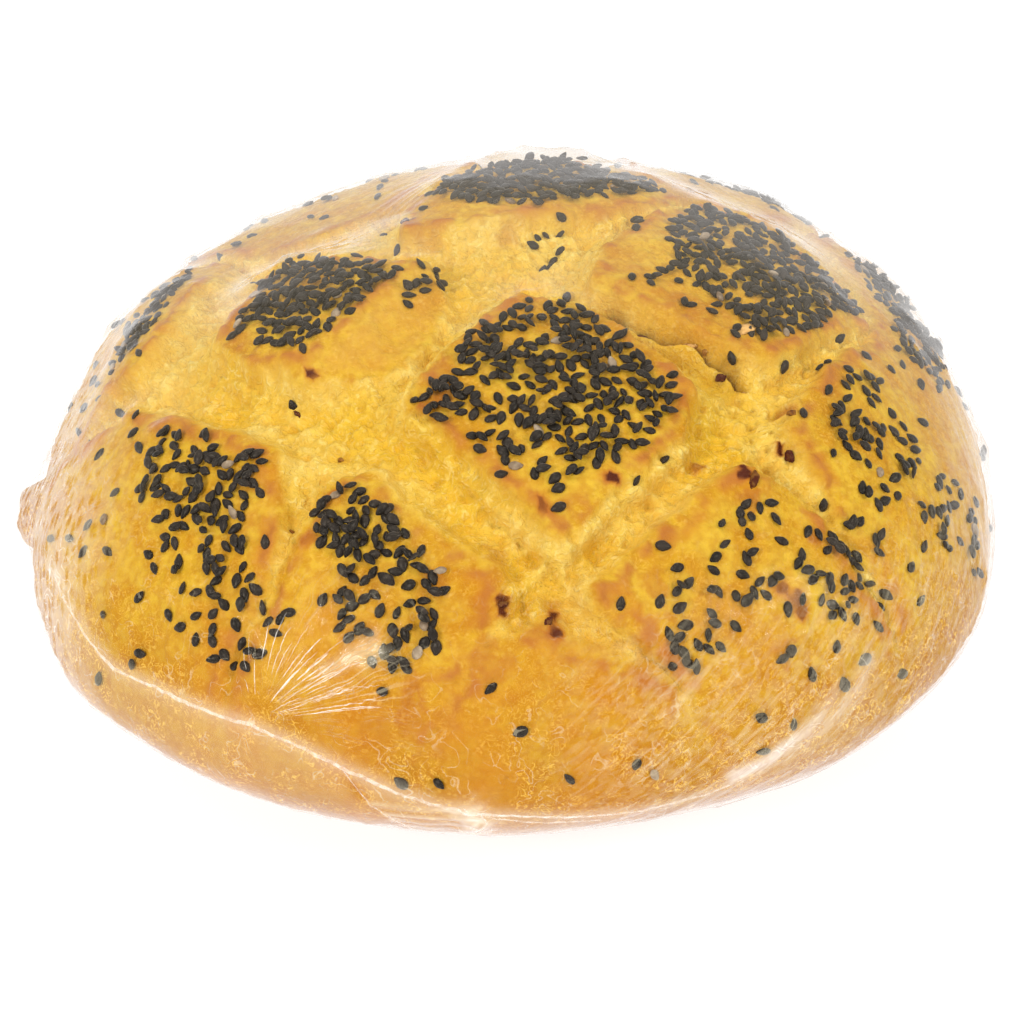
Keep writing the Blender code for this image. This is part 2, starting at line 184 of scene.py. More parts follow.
# Narrow tears at the bottom of the cuts, in (u, v) millimetres: depth, half width, line.
CRACKS_MM = (
    (3.0, 0.7, ((19, 1.5), (24, 0), (30, -1), (36, -3.5), (42, -5), (47, -5.5), (52, -7.5),
                (56, -8))),
    (0.4, 0.35, ((9, 50), (18, 53), (25, 54), (33, 55))),
    (0.8, 0.45, ((34, 55), (41, 56), (50, 56))),
    (1.0, 0.7, ((2, 72), (8, 80), (14, 83), (15, 90))),
    (1.0, 0.7, ((53, 62), (57, 65), (62, 63))),
    (0.8, 0.6, ((65, 54), (74, 52), (82, 49))),
)

# Browned places: (u, v) in millimetres, radius in millimetres, how far browned.
BROWNED_MM = (
    (17, 45, 4.0, 0.60), (14, 39, 2.2, 0.45), (54, 36, 1.4, 1.00), (47, 51, 2.2, 0.75),
    (50, 46, 3.0, 0.45), (53, 14, 2.6, 0.45), (51, 21, 1.8, 0.45), (62, 18, 1.6, 0.65),
    (-32, 3, 1.8, 0.95), (77, 52, 6.5, 0.40), (84, 60, 8.0, 0.32), (47, 86, 3.6, 0.60),
    (44, 92, 4.0, 0.50), (15, 81, 2.0, 0.60), (13, 74, 2.4, 0.45), (70, 14, 2.0, 1.00),
    (73, 18, 2.4, 0.60), (52, 66, 1.8, 0.90), (61, 61, 2.2, 0.90), (58, 66, 2.4, 0.50),
    (50, 70, 3.0, 0.40), (-10, 59, 1.1, 1.00), (55, 73, 5.0, 0.42), (46, 62, 2.6, 0.40),
    (-10, 54, 1.2, 0.95), (-3, 50, 1.0, 0.80),
    (25, -5, 2.6, 0.40), (36, -9, 2.6, 0.35), (49, -12, 2.8, 0.50), (18, -7, 2.6, 0.50),
    (88, 24, 2.4, 0.75), (91, 30, 2.0, 0.55), (84, 12, 2.0, 0.65),
    (-24, 4, 4.0, 0.40), (-12, -8, 3.4, 0.42), (-2, -26, 3.0, 0.45), (70, 44, 3.4, 0.45),
    (67, 36, 3.0, 0.40), (40, 72, 3.0, 0.45), (-2, 77, 3.4, 0.45), (3, 84, 3.0, 0.40),
    (66, -6, 1.8, 0.60), (71, 1, 1.3, 1.00), (21, -9, 4.5, 0.34), (31, -11, 4.5, 0.36),
    (41, -12, 4.5, 0.36), (50, -15, 4.0, 0.34),
)
# Places baked more golden: (u, v) in millimetres, radius in millimetres, how far.
BAKED_MM = ((58, 80, 13.0, 0.80), (74, 65, 12.0, 0.70), (38, 92, 11.0, 0.65), (14, 100, 12.0, 0.55),
            (24, 90, 8.0, 0.60), (88, 40, 10.0, 0.40), (30, -12, 8.0, 0.50), (45, -14, 8.0, 0.50),
            (60, 60, 6.0, 0.45))


def smooth(value):
    """Ease from 0 to 1 between 0 and 1."""
    value = np.clip(value, 0.0, 1.0)
    return value * value * (3.0 - 2.0 * value)


def bell(distance, width):
    """A soft bump, 1 in the middle and near 0 at twice its width."""
    return np.exp(-(distance / width) ** 2)


def segment_distance(points, start, end):
    """Distance of each point to the segment from start to end."""
    along = end - start
    share = np.clip((points - start) @ along / (along @ along), 0.0, 1.0)
    return np.linalg.norm(points - start - share[:, None] * along, axis=1)


def line_distance(points, corners):
    """Distance of each point to an open line."""
    corners = np.array(corners)
    pairs = zip(corners[:-1], corners[1:])
    return np.min([segment_distance(points, start, end) for start, end in pairs], axis=0)


def patch_distance(points, corners):
    """Signed distance of each plan point to a patch, negative inside it."""
    closed = np.array(tuple(corners) + tuple(corners[:1]))
    inside = np.zeros(len(points), dtype=bool)
    for start, end in zip(closed[:-1], closed[1:]):
        crosses = (start[1] > points[:, 1]) != (end[1] > points[:, 1])
        rise = end[1] - start[1] if end[1] != start[1] else TINY
        at = start[0] + (points[:, 1] - start[1]) * (end[0] - start[0]) / rise
        inside ^= crosses & (points[:, 0] < at)
    return np.where(inside, -1.0, 1.0) * line_distance(points, closed)


def raw_profile(share):
    """Radius and height of the profile before its edges are rounded."""
    side = np.sign(share) * np.sign(1.0 - share)
    share = np.where(share > 1.0, 2.0 - share, np.abs(share))
    rise = np.clip(1.0 - share / CROWN_SHARE, 0.0, 1.0) * math.pi / 2
    fall = np.clip((share - CROWN_SHARE) / SKIRT_SHARE, 0.0, 1.0) * math.pi / 2
    foot_share = 1.0 - CROWN_SHARE - SKIRT_SHARE
    foot = np.clip((share - CROWN_SHARE - SKIRT_SHARE) / foot_share, 0.0, 1.0)
    crown_radius = LOAF_RADIUS * np.cos(rise) ** (2.0 / CROWN_POWER)
    crown_height = BELLY_HEIGHT + CROWN_RISE * np.sin(rise) ** (2.0 / CROWN_POWER)
    flare = np.abs(np.cos(fall)) ** (2.0 / SKIRT_POWER)
    skirt_radius = FOOT_RADIUS + (LOAF_RADIUS - FOOT_RADIUS) * flare
    skirt_height = BELLY_HEIGHT * (1.0 - np.sin(fall) ** (2.0 / SKIRT_POWER))
    radius = np.where(share < CROWN_SHARE, crown_radius, skirt_radius)
    height = np.where(share < CROWN_SHARE, crown_height, skirt_height)
    radius = np.where(foot > 0.0, FOOT_RADIUS * (1.0 - foot), radius)
    return side * radius, np.where(foot > 0.0, 0.0, height)


def profile(share):
    """Radius and height of the profile; averaging over a short stretch rounds its edges."""
    steps = np.linspace(-EDGE_ROUND, EDGE_ROUND, ROUND_STEPS)
    radii, heights = zip(*[raw_profile(share + step) for step in steps])
    return np.mean(radii, axis=0), np.mean(heights, axis=0)


def loaf_point(share, azimuth):
    """Points of the smooth loaf; share runs from 0 at the crown to 1 at the foot's centre."""
    radius, height = profile(share)
    swell = np.ones_like(azimuth)
    for lobes, cosine, sine in OUTLINE_WAVES:
        swell += cosine * np.cos(lobes * azimuth) + sine * np.sin(lobes * azimuth)
    x = radius * swell * np.cos(azimuth) + LEAN[0] * height
    y = radius * swell * np.sin(azimuth) + LEAN[1] * height
    return np.stack([x, y, height], axis=1)


def grid_place(points):
    """Plan coordinates (u, v) of points along the cuts."""
    across = points[:, 0] - GRID_CENTRE[0]
    back = points[:, 1] - GRID_CENTRE[1]
    u = across * math.cos(GRID_TURN) + back * math.sin(GRID_TURN)
    v = across * math.sin(GRID_TURN) - back * math.cos(GRID_TURN)
    return np.stack([u, v], axis=1)


def crust_distance(plan):
    """Signed distance to the nearest patch of crust, negative on the crust."""
    patches = [patch_distance(plan, corners) for corners in CRUST_PATCHES.values()]
    return np.min(patches, axis=0) - CORNER_ROUND


def floor_depth(plan):
    """Depth of the cuts' floor, blended from the lines nearest to each point."""
    distances = np.array([line_distance(plan, line) for _, line in CUTS])
    depths = np.array([depth for depth, _ in CUTS])[:, None]
    weights = 1.0 / (distances + BLEND_REACH) ** BLEND_POWER
    return (depths * weights).sum(axis=0) / weights.sum(axis=0), distances.min(axis=0)


def cut_depth(plan, crust, on_ramp):
    """Depth of the cuts below the dome: steep by the crust, then a slope to the floor line."""
    below_top = np.maximum(patch_distance(plan, CRUST_PATCHES[RAMP_TOP]), 0.0)
    rim_depth = np.where(on_ramp < crust, RAMP_DROP * smooth(below_top / RAMP_RUN), 0.0)
    away = np.maximum(np.minimum(crust, on_ramp), 0.0)
    floor, to_floor = floor_depth(plan)
    width = away + to_floor
    share = away / (width + TINY)
    fall = WALL_SHARE * smooth(share / WALL_END) + (1.0 - WALL_SHARE) * share
    groove = np.maximum(floor - rim_depth, 0.0) * fall * smooth(width / FULL_CUT)
    shoulder = SHOULDER_DROP * smooth(1.0 + crust / SHOULDER)
    return rim_depth + groove + shoulder


def knob_rise(points):
    """Outward rise of the knob at the belly."""
    centre_x = LOAF_RADIUS * math.cos(KNOB_AZIMUTH)
    centre_y = LOAF_RADIUS * math.sin(KNOB_AZIMUTH)
    away = np.linalg.norm(points - np.array([centre_x, centre_y, KNOB_HEIGHT]), axis=1)
    return KNOB_RISE * smooth(KNOB_FULLNESS * (1.0 - away / KNOB_RADIUS))


def swellings(points, bumps_mm):
    """Sum of soft bumps, each a middle, a rise and a width in millimetres."""
    total = np.zeros(len(points))
    for middle, rise, width in bumps_mm:
        away = np.linalg.norm(points / MM - np.array(middle, dtype=float), axis=1)
        total += rise * MM * bell(away, width)
    return total


def lumps(points, size, octaves=3, shift=0.0):
    """Soft noise around 0 at each point, with lumps of this size."""
    places = (points + shift) / size
    return np.array([noise.fractal(place, 1.0, 2.0, octaves) for place in places])


def wander(points, size):
    """A vector of noise at each point."""
    return np.array([noise.noise_vector(place) for place in points / size])


def cells(points, size):
    """Distance to the nearest of scattered dots, in dot spacings."""
    return np.array([noise.voronoi(place)[0][0] for place in points / size])


def window(value, start, start_run, end, end_run):
    """1 between a start and an end, easing to 0 at each."""
    return smooth((value - start) / start_run) * smooth((end - value) / end_run)


def uneven(base, *parts, low=0.0, high=1.0):
    """A base made uneven by (weight, noise) pairs, and kept between low and high."""
    for weight, part in parts:
        base = base + weight * part
    return np.clip(base, low, high)


def above(points, height, run):
    """0 up to a height, easing to 1 over a run above it."""
    return smooth((points[:, 2] - height) / run)


def below(points, height, run):
    """0 down to a height, easing to 1 over a run below it."""
    return smooth((height - points[:, 2]) / run)


# --- meshes in rings -------------------------------------------------------------------------

PROFILE_STEPS = 4001
FEWEST_IN_RING = 6
# Rows of even triangles lie this share of a side apart.
ROW_SHARE = math.sqrt(3.0) / 2.0


def ring_plan(spacings):
    """Shares and counts of rings from crown to foot; spacings are (end share, spacing)."""
    fine = np.linspace(0.0, 1.0, PROFILE_STEPS)
    radius, height = profile(fine)
    steps = np.hypot(np.diff(radius), np.diff(height))
    ends, widths = zip(*spacings)
    width = np.interp(fine[1:], ends, widths)
    rows = np.concatenate([[0.0], np.cumsum(steps / (width * ROW_SHARE))])
    count = int(round(rows[-1]))
    shares = np.interp(np.linspace(0.0, rows[-1], count + 1), rows, fine)
    radii = np.abs(profile(shares)[0])
    sizes = np.interp(shares, ends, widths)
    counts = np.maximum(FEWEST_IN_RING, np.round(2.0 * math.pi * radii / sizes)).astype(int)
    counts[0] = counts[-1] = 1
    return shares, counts


def zip_rings(first, first_count, second, second_count):
    """Triangles between two rings with different numbers of points."""
    faces = []
    i = j = 0
    first_steps = first_count if first_count > 1 else 0
    second_steps = second_count if second_count > 1 else 0
    while i < first_steps or j < second_steps:
        inner, outer = first + i % first_count, second + j % second_count
        behind = (i + 1) * second_steps <= (j + 1) * first_steps
        if j == second_steps or (i < first_steps and behind):
            faces.append((inner, outer, first + (i + 1) % first_count))
            i += 1
        else:
            faces.append((inner, outer, second + (j + 1) % second_count))
            j += 1
    return faces


def ring_mesh(spacings):
    """Share, azimuth and triangles of a closed mesh of rings."""
    shares, counts = ring_plan(spacings)
    starts = np.concatenate([[0], np.cumsum(counts)])
    share = np.repeat(shares, counts)
    azimuth = np.concatenate([np.arange(count) * 2.0 * math.pi / count for count in counts])
    faces = []
    for row in range(len(counts) - 1):
        faces += zip_rings(starts[row], counts[row], starts[row + 1], counts[row + 1])
    return share, azimuth, np.array(faces)


def crosses(points, faces):
    """Normal of each triangle, as long as twice its area."""
    corners = points[faces]
    return np.cross(corners[:, 1] - corners[:, 0], corners[:, 2] - corners[:, 0])


def point_normals(points, faces):
    """Outward unit normals at the points of a triangle mesh."""
    face_normals = crosses(points, faces)
    normals = np.zeros_like(points)
    for corner in range(3):
        for axis in range(3):
            normals[:, axis] += np.bincount(faces[:, corner], face_normals[:, axis], len(points))
    return normals / np.maximum(np.linalg.norm(normals, axis=1, keepdims=True), NO_LENGTH)


# --- pieces -----------------------------------------------------------------------------------


def in_scene(name, data):
    """A new object of the scene."""
    made = bpy.data.objects.new(name, data)
    bpy.context.scene.collection.objects.link(made)
    return made


def point_values(mesh, name, values, kind="FLOAT"):
    """Keep a number or a vector for each point of a mesh."""
    flat = np.array(values, dtype=np.float32).ravel()
    field = "value" if kind == "FLOAT" else "vector"
    mesh.attributes.new(name, kind, "POINT").data.foreach_set(field, flat)


def new_piece(name, shape, attributes, material):
    """A smooth-shaded piece of points and faces, or of a bmesh, with numbers on its points."""
    mesh = bpy.data.meshes.new(name)
    if isinstance(shape, bmesh.types.BMesh):
        shape.to_mesh(mesh)
        shape.free()
    else:
        points, faces = shape
        mesh.from_pydata(points.tolist(), [], faces.tolist())
    for key, values in attributes.items():
        point_values(mesh, key, values)
    mesh.materials.append(material)
    mesh.shade_smooth()
    return in_scene(name, mesh)


def plain_mesh(piece, name):
    """What a piece's modifiers make of it, as a plain mesh."""
    bpy.context.view_layer.update()
    graph = bpy.context.evaluated_depsgraph_get()
    mesh = bpy.data.meshes.new_from_object(piece.evaluated_get(graph))
    mesh.name = name
    return mesh


def surface(piece):
    """A search tree of a piece's faces."""
    return BVHTree.FromPolygons([vertex.co for vertex in piece.data.vertices],
                                [face.vertices for face in piece.data.polygons])


# --- node trees -------------------------------------------------------------------------------


def numbers(tree, **values):
    """Give a tree a named number input for each value."""
    for name, value in values.items():
        socket = tree.interface.new_socket(name, in_out="INPUT", socket_type="NodeSocketFloat")
        socket.default_value = value


class Wiring:
    """Adds nodes to a tree and joins them."""

    def __init__(self, tree):
        self.tree = tree

    def node(self, kind, settings=(), **inputs):
        """A node with settings, and inputs that are sockets or plain values."""
        node = self.tree.nodes.new(kind)
        for key, value in dict(settings).items():
            setattr(node, key, value)
        for key, value in inputs.items():
            self.feed(node.inputs[key.replace("_", " ")], value)
        return node

    def made(self, kind, output, settings=(), **inputs):
        """One output of such a node."""
        return self.node(kind, settings, **inputs).outputs[output]

    def feed(self, socket, value):
        """Join a socket to another, or set its value."""
        if isinstance(value, bpy.types.NodeSocket):
            self.tree.links.new(value, socket)
        else:
            socket.default_value = value

    def reckon(self, operation, first, second=0.0, third=0.0, clamp=False):
        """A Math node."""
        node = self.node("ShaderNodeMath", {"operation": operation, "use_clamp": clamp})
        for socket, value in zip(node.inputs, (first, second, third)):
            self.feed(socket, value)
        return node.outputs["Value"]

    def times(self, first, second):
        """A product."""
        return self.reckon("MULTIPLY", first, second)


# --- the loaf ---------------------------------------------------------------------------------

LOAF_SPACINGS = ((0.0, 0.00054), (0.54, 0.00054), (0.62, 0.0014), (0.80, 0.0016), (0.84, 0.004),
                 (1.0, 0.004))
LOAF_TRIANGLES = 190000
# Rings of the plain loaf that is set on the middle of the frame's box.
PLAIN_SPACINGS = ((0.0, 0.003), (1.0, 0.003))
# How ragged the edges of the cuts are: size of each wander and its reach.
RAGGED = ((0.007, 0.0012), (0.0022, 0.0006))
# The torn crumb: size and height of its lumps, its clumps and its fibres.
LUMP_SIZE = 0.0075
LUMP_RISE = 0.0014
CLUMP_SIZE = 0.0026
CLUMP_RISE = 0.0012
FIBRE_SIZE = 0.0045
FIBRE_DEPTH = 0.0009
# Open pores of two sizes: spacing, share of it that is open, depth, and added depth where pitted.
PITS = (0.0042, 0.32, 0.0006, 0.0010)
PORES = (0.0021, 0.36, 0.0002, 0.0010)
PITTED_PLACE_MM = (66.0, -2.0)
PITTED_REACH_MM = 13.0
# The crumb lies calmer than this near the widest tear, in millimetres.
CALM_REACH_MM = 6.0
CALM = 0.65
# The crust: the height of its swell, clumps, blotches and pimples.
SWELL_SIZE = 0.022
BLOTCH_SIZE = 0.009
FRAY_SIZE = 0.0030
SKIN_RISES = (0.0009, 0.00045, 0.00025, 0.00018)
PIMPLE_SPACING = 0.0030
PIMPLE_OPEN = 0.30
LIP_RISE = 0.0008
# What shows as torn: where it starts, from the edge of the crust, and how wide it blends.
TORN_FROM = -0.0004
TORN_WIDTH = 0.0020
SLOPE_EDGE = 0.003
SLOPE_TORN = 0.2
SLOPE_AMBER = 0.42
# The lip and the darker rim of the crust: how far inside its edge, and half width.
LIP = (0.0008, 0.0012)
RIM = (0.0016, 0.0012)
# The amber edge of the crust: where it starts and ends across the edge, and the run of each.
AMBER = (-0.0060, 0.004, 0.0012, 0.0028)
# How dark the painted shadow of the film's flap in its open slot is, and half of its width.
FLAP_SHADOW = 0.62
FLAP_SHADOW_HALF = 0.0007
DEEPEST_CUT = 0.009
DEEPEST_CRACK = 0.0026
LOW_SIDE = (0.072, 0.056)
PLAIN_FOOT = (0.002, 0.02)


def dots(points, spacing, open_share):
    """1 in the middle of scattered dots, 0 between them."""
    return np.clip(open_share - cells(points, spacing), 0.0, 1.0) / open_share


def cracks(plan_mm):
    """Depth of the narrow tears, in metres."""
    lines = [deep * bell(line_distance(plan_mm, line), half) for deep, half, line in CRACKS_MM]
    return MM * np.max(lines, axis=0)


def golden(plan_mm, patchy):
    """How much more golden each place is baked."""
    baked = np.zeros(len(plan_mm))
    for u, v, radius, strength in BAKED_MM:
        away = np.linalg.norm(plan_mm - np.array([u, v]), axis=1)
        patch = strength * bell(away, radius) * uneven(1.0, (0.8, patchy), low=0.3, high=1.3)
        baked = np.maximum(baked, patch)
    return baked


def browning(plan_mm, ragged):
    """How strong the browning is at each place, with ragged edges."""
    spots = np.zeros(len(plan_mm))
    for u, v, radius, strength in BROWNED_MM:
        away = np.linalg.norm(plan_mm - np.array([u, v]), axis=1) / radius
        spots = np.maximum(spots, strength * smooth(1.35 - away + ragged * smooth(2.4 - away)))
    return spots


def relief(points):
    """Outward push of each point of the smooth loaf, and the masks that its finish follows."""
    plan = grid_place(points)
    for size, reach in RAGGED:
        plan = plan + reach * wander(points, size)[:, :2]
    plan_mm = plan / MM
    crust = crust_distance(plan)
    on_ramp = patch_distance(plan, RAMP)
    fade = above(points, CUTS_END_LOW, CUTS_END_HIGH - CUTS_END_LOW)
    depth = cut_depth(plan, crust, on_ramp) * fade
    on_slope = smooth(-on_ramp / SLOPE_EDGE) * smooth(crust / SLOPE_EDGE)
    torn = smooth((np.minimum(crust, on_ramp) - TORN_FROM) / TORN_WIDTH) * fade
    torn = np.maximum(torn, SLOPE_TORN * on_slope * fade)
    crack = cracks(plan_mm) * fade
    crack *= uneven(0.9, (0.5, lumps(points, 0.005, 2, 0.4)), low=0.3, high=1.2)

    big = lumps(points, LUMP_SIZE, 3)
    small = lumps(points, CLUMP_SIZE, 4, 0.3)
    fibres = np.abs(lumps(points * np.array([1.0, 1.0, 0.5]), FIBRE_SIZE, 2, 0.7))
    patchy = lumps(points, BLOTCH_SIZE, 3, 0.9)
    frayed = lumps(points, FRAY_SIZE, 2, 0.1)
    swell = lumps(points, SWELL_SIZE, 2, 0.5)

    pitted = bell(np.linalg.norm(plan_mm - np.array(PITTED_PLACE_MM), axis=1), PITTED_REACH_MM)
    crumb = LUMP_RISE * big + CLUMP_RISE * small - FIBRE_DEPTH * fibres
    holes = np.zeros(len(points))
    for spacing, open_share, deep, deeper in (PITS, PORES):
        hole = dots(points, spacing, open_share)
        holes = np.maximum(holes, hole)
        crumb -= (deep + deeper * pitted) * hole
    crumb *= 1.0 - CALM * bell(line_distance(plan_mm, CRACKS_MM[0][2]), CALM_REACH_MM)

    pimples = dots(points, PIMPLE_SPACING, PIMPLE_OPEN)
    skin = sum(rise * part for rise, part in zip(SKIN_RISES, (swell, small, patchy, pimples)))
    skin *= above(points, *PLAIN_FOOT)
    lip = bell(crust + LIP[0], LIP[1]) * fade
    lip *= uneven(0.45, (0.9, patchy), (0.9, frayed), high=1.3)
    push = knob_rise(points) + swellings(points, RAISED_MM) - swellings(points, SUNKEN_MM)
    push += torn * crumb + (1.0 - torn) * skin + LIP_RISE * lip - depth - crack

    rim = bell(crust + RIM[0], RIM[1]) * uneven(0.50, (1.8, frayed), (0.7, patchy)) * fade
    amber = window(crust, *AMBER) * uneven(0.35, (1.6, patchy), (0.8, frayed)) * fade
    amber = np.maximum(amber, SLOPE_AMBER * on_slope * uneven(1.0, (1.0, patchy), low=0.3))
    amber = np.maximum(amber, golden(plan_mm, patchy))
    spots = browning(plan_mm, 0.8 * frayed + 0.7 * small) * fade
    # Painted shadow of the film's flap in its open slot; it shares one mask with the real browning.
    flap_shadow = FLAP_SHADOW * bell(side_distance(points, SLOT), FLAP_SHADOW_HALF)
    masks = {
        "torn": torn,
        "rim": rim,
        "amber": np.clip(amber, 0.0, 1.0),
        "browned_and_flap_shadow": np.maximum(spots, flap_shadow),
        # Painted shade: the crumb is painted a deeper yellow the deeper the cut.
        "depth": np.clip(depth / DEEPEST_CUT, 0.0, 1.0),
        # Painted shade: the narrow tears are painted dark.
        "crack": np.clip(crack / DEEPEST_CRACK, 0.0, 1.0) ** 2,
        # Painted shade in the crumb's hollows, where its lumps are low.
        "hollow_shade": uneven(0.45, (-0.9, big), (-1.3, small), (0.5, fibres)),
        # Painted shade in the crumb's open pits, strongest where it is pitted.
        "pit_shade": holes * torn * (0.25 + 0.75 * pitted),
        "low": below(points, *LOW_SIDE),
    }
    return push, masks


def centre_shift(points):
    """Plan step that puts the middle of the loaf's box over the middle of the frame's."""
    low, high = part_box(NODE)
    ours = (points.min(axis=0) + points.max(axis=0)) / 2
    theirs = (np.array(low) + np.array(high)) / 2
    return np.array([theirs[0] - ours[0], theirs[1] - ours[1], 0.0])


def make_loaf(shift):
    """The loaf: smooth crust left standing between cuts with a torn crumb."""
    share, azimuth, faces = ring_mesh(LOAF_SPACINGS)
    points = loaf_point(share, azimuth)
    normals = point_normals(points, faces)
    push, masks = relief(points)
    points = points + normals * push[:, None]
    points[:, 2] = np.maximum(points[:, 2], 0.0)
    loaf = new_piece("loaf", (points + shift, faces), masks, bread_material())
    loaf.modifiers.new("thin", "DECIMATE").ratio = LOAF_TRIANGLES / len(faces)
    thinned = plain_mesh(loaf, "loaf")
    loaf.modifiers.clear()
    loaf.data = thinned
    return loaf


# --- sesame -----------------------------------------------------------------------------------

SEED_LENGTH = 0.0031
SEED_WIDTH = 0.0020
SEED_THICK = 0.0011
SEED_TAPER = 0.42
SEED_GAP = 0.00135
SEED_PILE = 0.0019
SEED_CLUMP = 0.006
SEED_RANDOM = 11
HIGHEST_PILE = 2
# How far a seed leans, in itself and for each seed under it, and how high its middle lies.
SEED_LEAN = 0.16
PILE_LEAN = 0.22
SEED_REST = 0.30
PILE_REST = 0.62
# Seeds differ in size, and in length for their size.
SEED_SIZES = (0.86, 1.08)
SEED_STRETCH = (0.85, 1.12)
PALE_SHARE = 0.022
CM2_IN_M2 = 1e4

# Where sesame lies: corners in (u, v) millimetres and seeds for each square centimetre.
SESAME_MM = (
    (((14, 47), (12, 30), (11, 15), (18, 10), (30, 9), (48, 9), (53, 18), (54, 27), (49, 38),
      (48, 46), (36, 48), (22, 48)), 11.0),
    (((13, 32), (12, 14), (20, 10), (34, 9), (50, 11), (53, 22), (47, 34), (38, 40), (28, 38),
      (20, 34)), 25.0),
    (((14, 48), (13, 38), (20, 38), (25, 46), (20, 49)), 24.0),
    (((-37, 50), (-43, 36), (-41, 27), (-26, 23), (-17, 21), (-15, 32), (-15, 50), (-23, 53)),
     32.0),
    (((9, -51), (13, -34), (20, -23), (32, -17), (41, -17), (51, -16), (54, -27), (50, -53),
      (36, -57), (22, -58)), 27.0),
    (((22, -4), (28, -8), (50, -9), (50, -18), (22, -16)), 4.0),
    (((-39, -12), (-28, -9), (-13, -15), (-2, -36), (-2, -50), (-24, -50), (-37, -44)), 30.0),
    (((-8, -8), (-9, -17), (-3, -20), (3, -9), (-2, -4)), 6.0),
    (((-16, 19), (-14, 12), (-7, 17), (-8, 27), (-14, 26)), 7.0),
    (((-31, 77), (-3, 74), (4, 87), (1, 92), (-12, 93), (-24, 88)), 15.0),
    (((-9, 95), (2, 90), (16, 89), (23, 93), (16, 101), (-2, 101)), 6.0),
    (((14, 79), (13, 71), (18, 69), (31, 70), (28, 76), (22, 80)), 30.0),
    (((22, 80), (30, 71), (41, 70), (47, 78), (42, 86), (25, 88)), 9.0),
    (((72, 44), (71, 22), (76, 14), (92, 10), (94, 14), (90, 22), (84, 44), (80, 50)), 5.0),
    (((90, 22), (98, 16), (98, 4), (88, -5), (84, 10)), 6.0),
    (((64, -31), (67, -12), (76, -8), (90, -4), (84, -28), (72, -33)), 6.5),
    (((26, -82), (40, -74), (54, -62), (62, -52), (70, -58), (54, -82), (32, -94)), 15.0),
    (((88, -14), (96, -12), (100, -30), (90, -42), (86, -34)), 4.0),
    (((-34, -88), (2, -86), (6, -96), (2, -106), (-32, -106)), 12.0),
    (((-52, -82), (-60, -70), (-72, -64), (-88, -66), (-80, -84), (-60, -96)), 10.0),
    (((-60, 6), (-57, -38), (-64, -47), (-82, -46), (-88, 4), (-74, 10)), 0.6),
    (((-77, 26), (-64, 50), (-63, 58), (-74, 66), (-90, 60), (-90, 26)), 1.2),
    (((-61, 58), (-65, 49), (-69, 42), (-73, 35), (-75, 27), (-80, 28), (-79, 38), (-74, 49),
      (-68, 60)), 15.0),
)
# Single seeds that fell beside the patches.
STRAY_EACH_CM2 = 0.26
STRAYS_IN_CUTS = 0.18
STRAY_LOWEST = 0.040
ZONE_FADE_MM = 3.0
CRUST_FADE = 0.002


def seed_density(plan_mm, height):
    """Seeds for each square centimetre at each place."""
    on_crust = smooth(1.0 - crust_distance(plan_mm * MM) / CRUST_FADE)
    strays = STRAY_EACH_CM2 * (STRAYS_IN_CUTS + (1.0 - STRAYS_IN_CUTS) * on_crust)
    density = np.where(height > STRAY_LOWEST, strays, 0.0)
    for corners, each in SESAME_MM:
        inside = smooth(0.5 - patch_distance(plan_mm, corners) / ZONE_FADE_MM)
        density = np.maximum(density, each * inside * (height > STRAY_LOWEST))
    return density


def seed_layout(loaf, shift):
    """Places of all seeds: those that fall on others lie higher and steeper."""
    mesh = loaf.data
    points = np.array([vertex.co for vertex in mesh.vertices])
    faces = np.array([face.vertices for face in mesh.polygons])
    outward = crosses(points, faces)
    areas = np.linalg.norm(outward, axis=1) / 2.0
    normals = outward / (2.0 * areas[:, None])
    corners = points[faces]
    middles = corners.mean(axis=1)
    clumps = lumps(middles, SEED_CLUMP, 2, 0.2)
    density = seed_density(grid_place(middles - shift) / MM, middles[:, 2])
    density *= uneven(1.0, (1.0, clumps), low=0.15, high=2.0)
    expected = density * areas * CM2_IN_M2
    total = int(expected.sum())
    draw = np.random.default_rng(SEED_RANDOM)
    picks = draw.choice(len(faces), size=total * 2, p=expected / expected.sum())
    mixes = draw.dirichlet((1.0, 1.0, 1.0), size=len(picks))
    places = (corners[picks] * mixes[:, :, None]).sum(axis=1)
    steps = list(itertools.product((-1, 0, 1), repeat=3))
    kept, grid = [], {}
    for pick, place in zip(picks, places):
        key = tuple((place / SEED_PILE).astype(int))
        boxes = [grid.get((key[0] + i, key[1] + j, key[2] + k), ()) for i, j, k in steps]
        near = [np.linalg.norm(place - other) for box in boxes for other in box]
        if near and min(near) < SEED_GAP:
            continue
        pile = min(HIGHEST_PILE, sum(1 for distance in near if distance < SEED_PILE))
        grid.setdefault(key, []).append(place)
        kept.append((place, normals[pick], pile))
        if len(kept) == total:
            break
    return kept


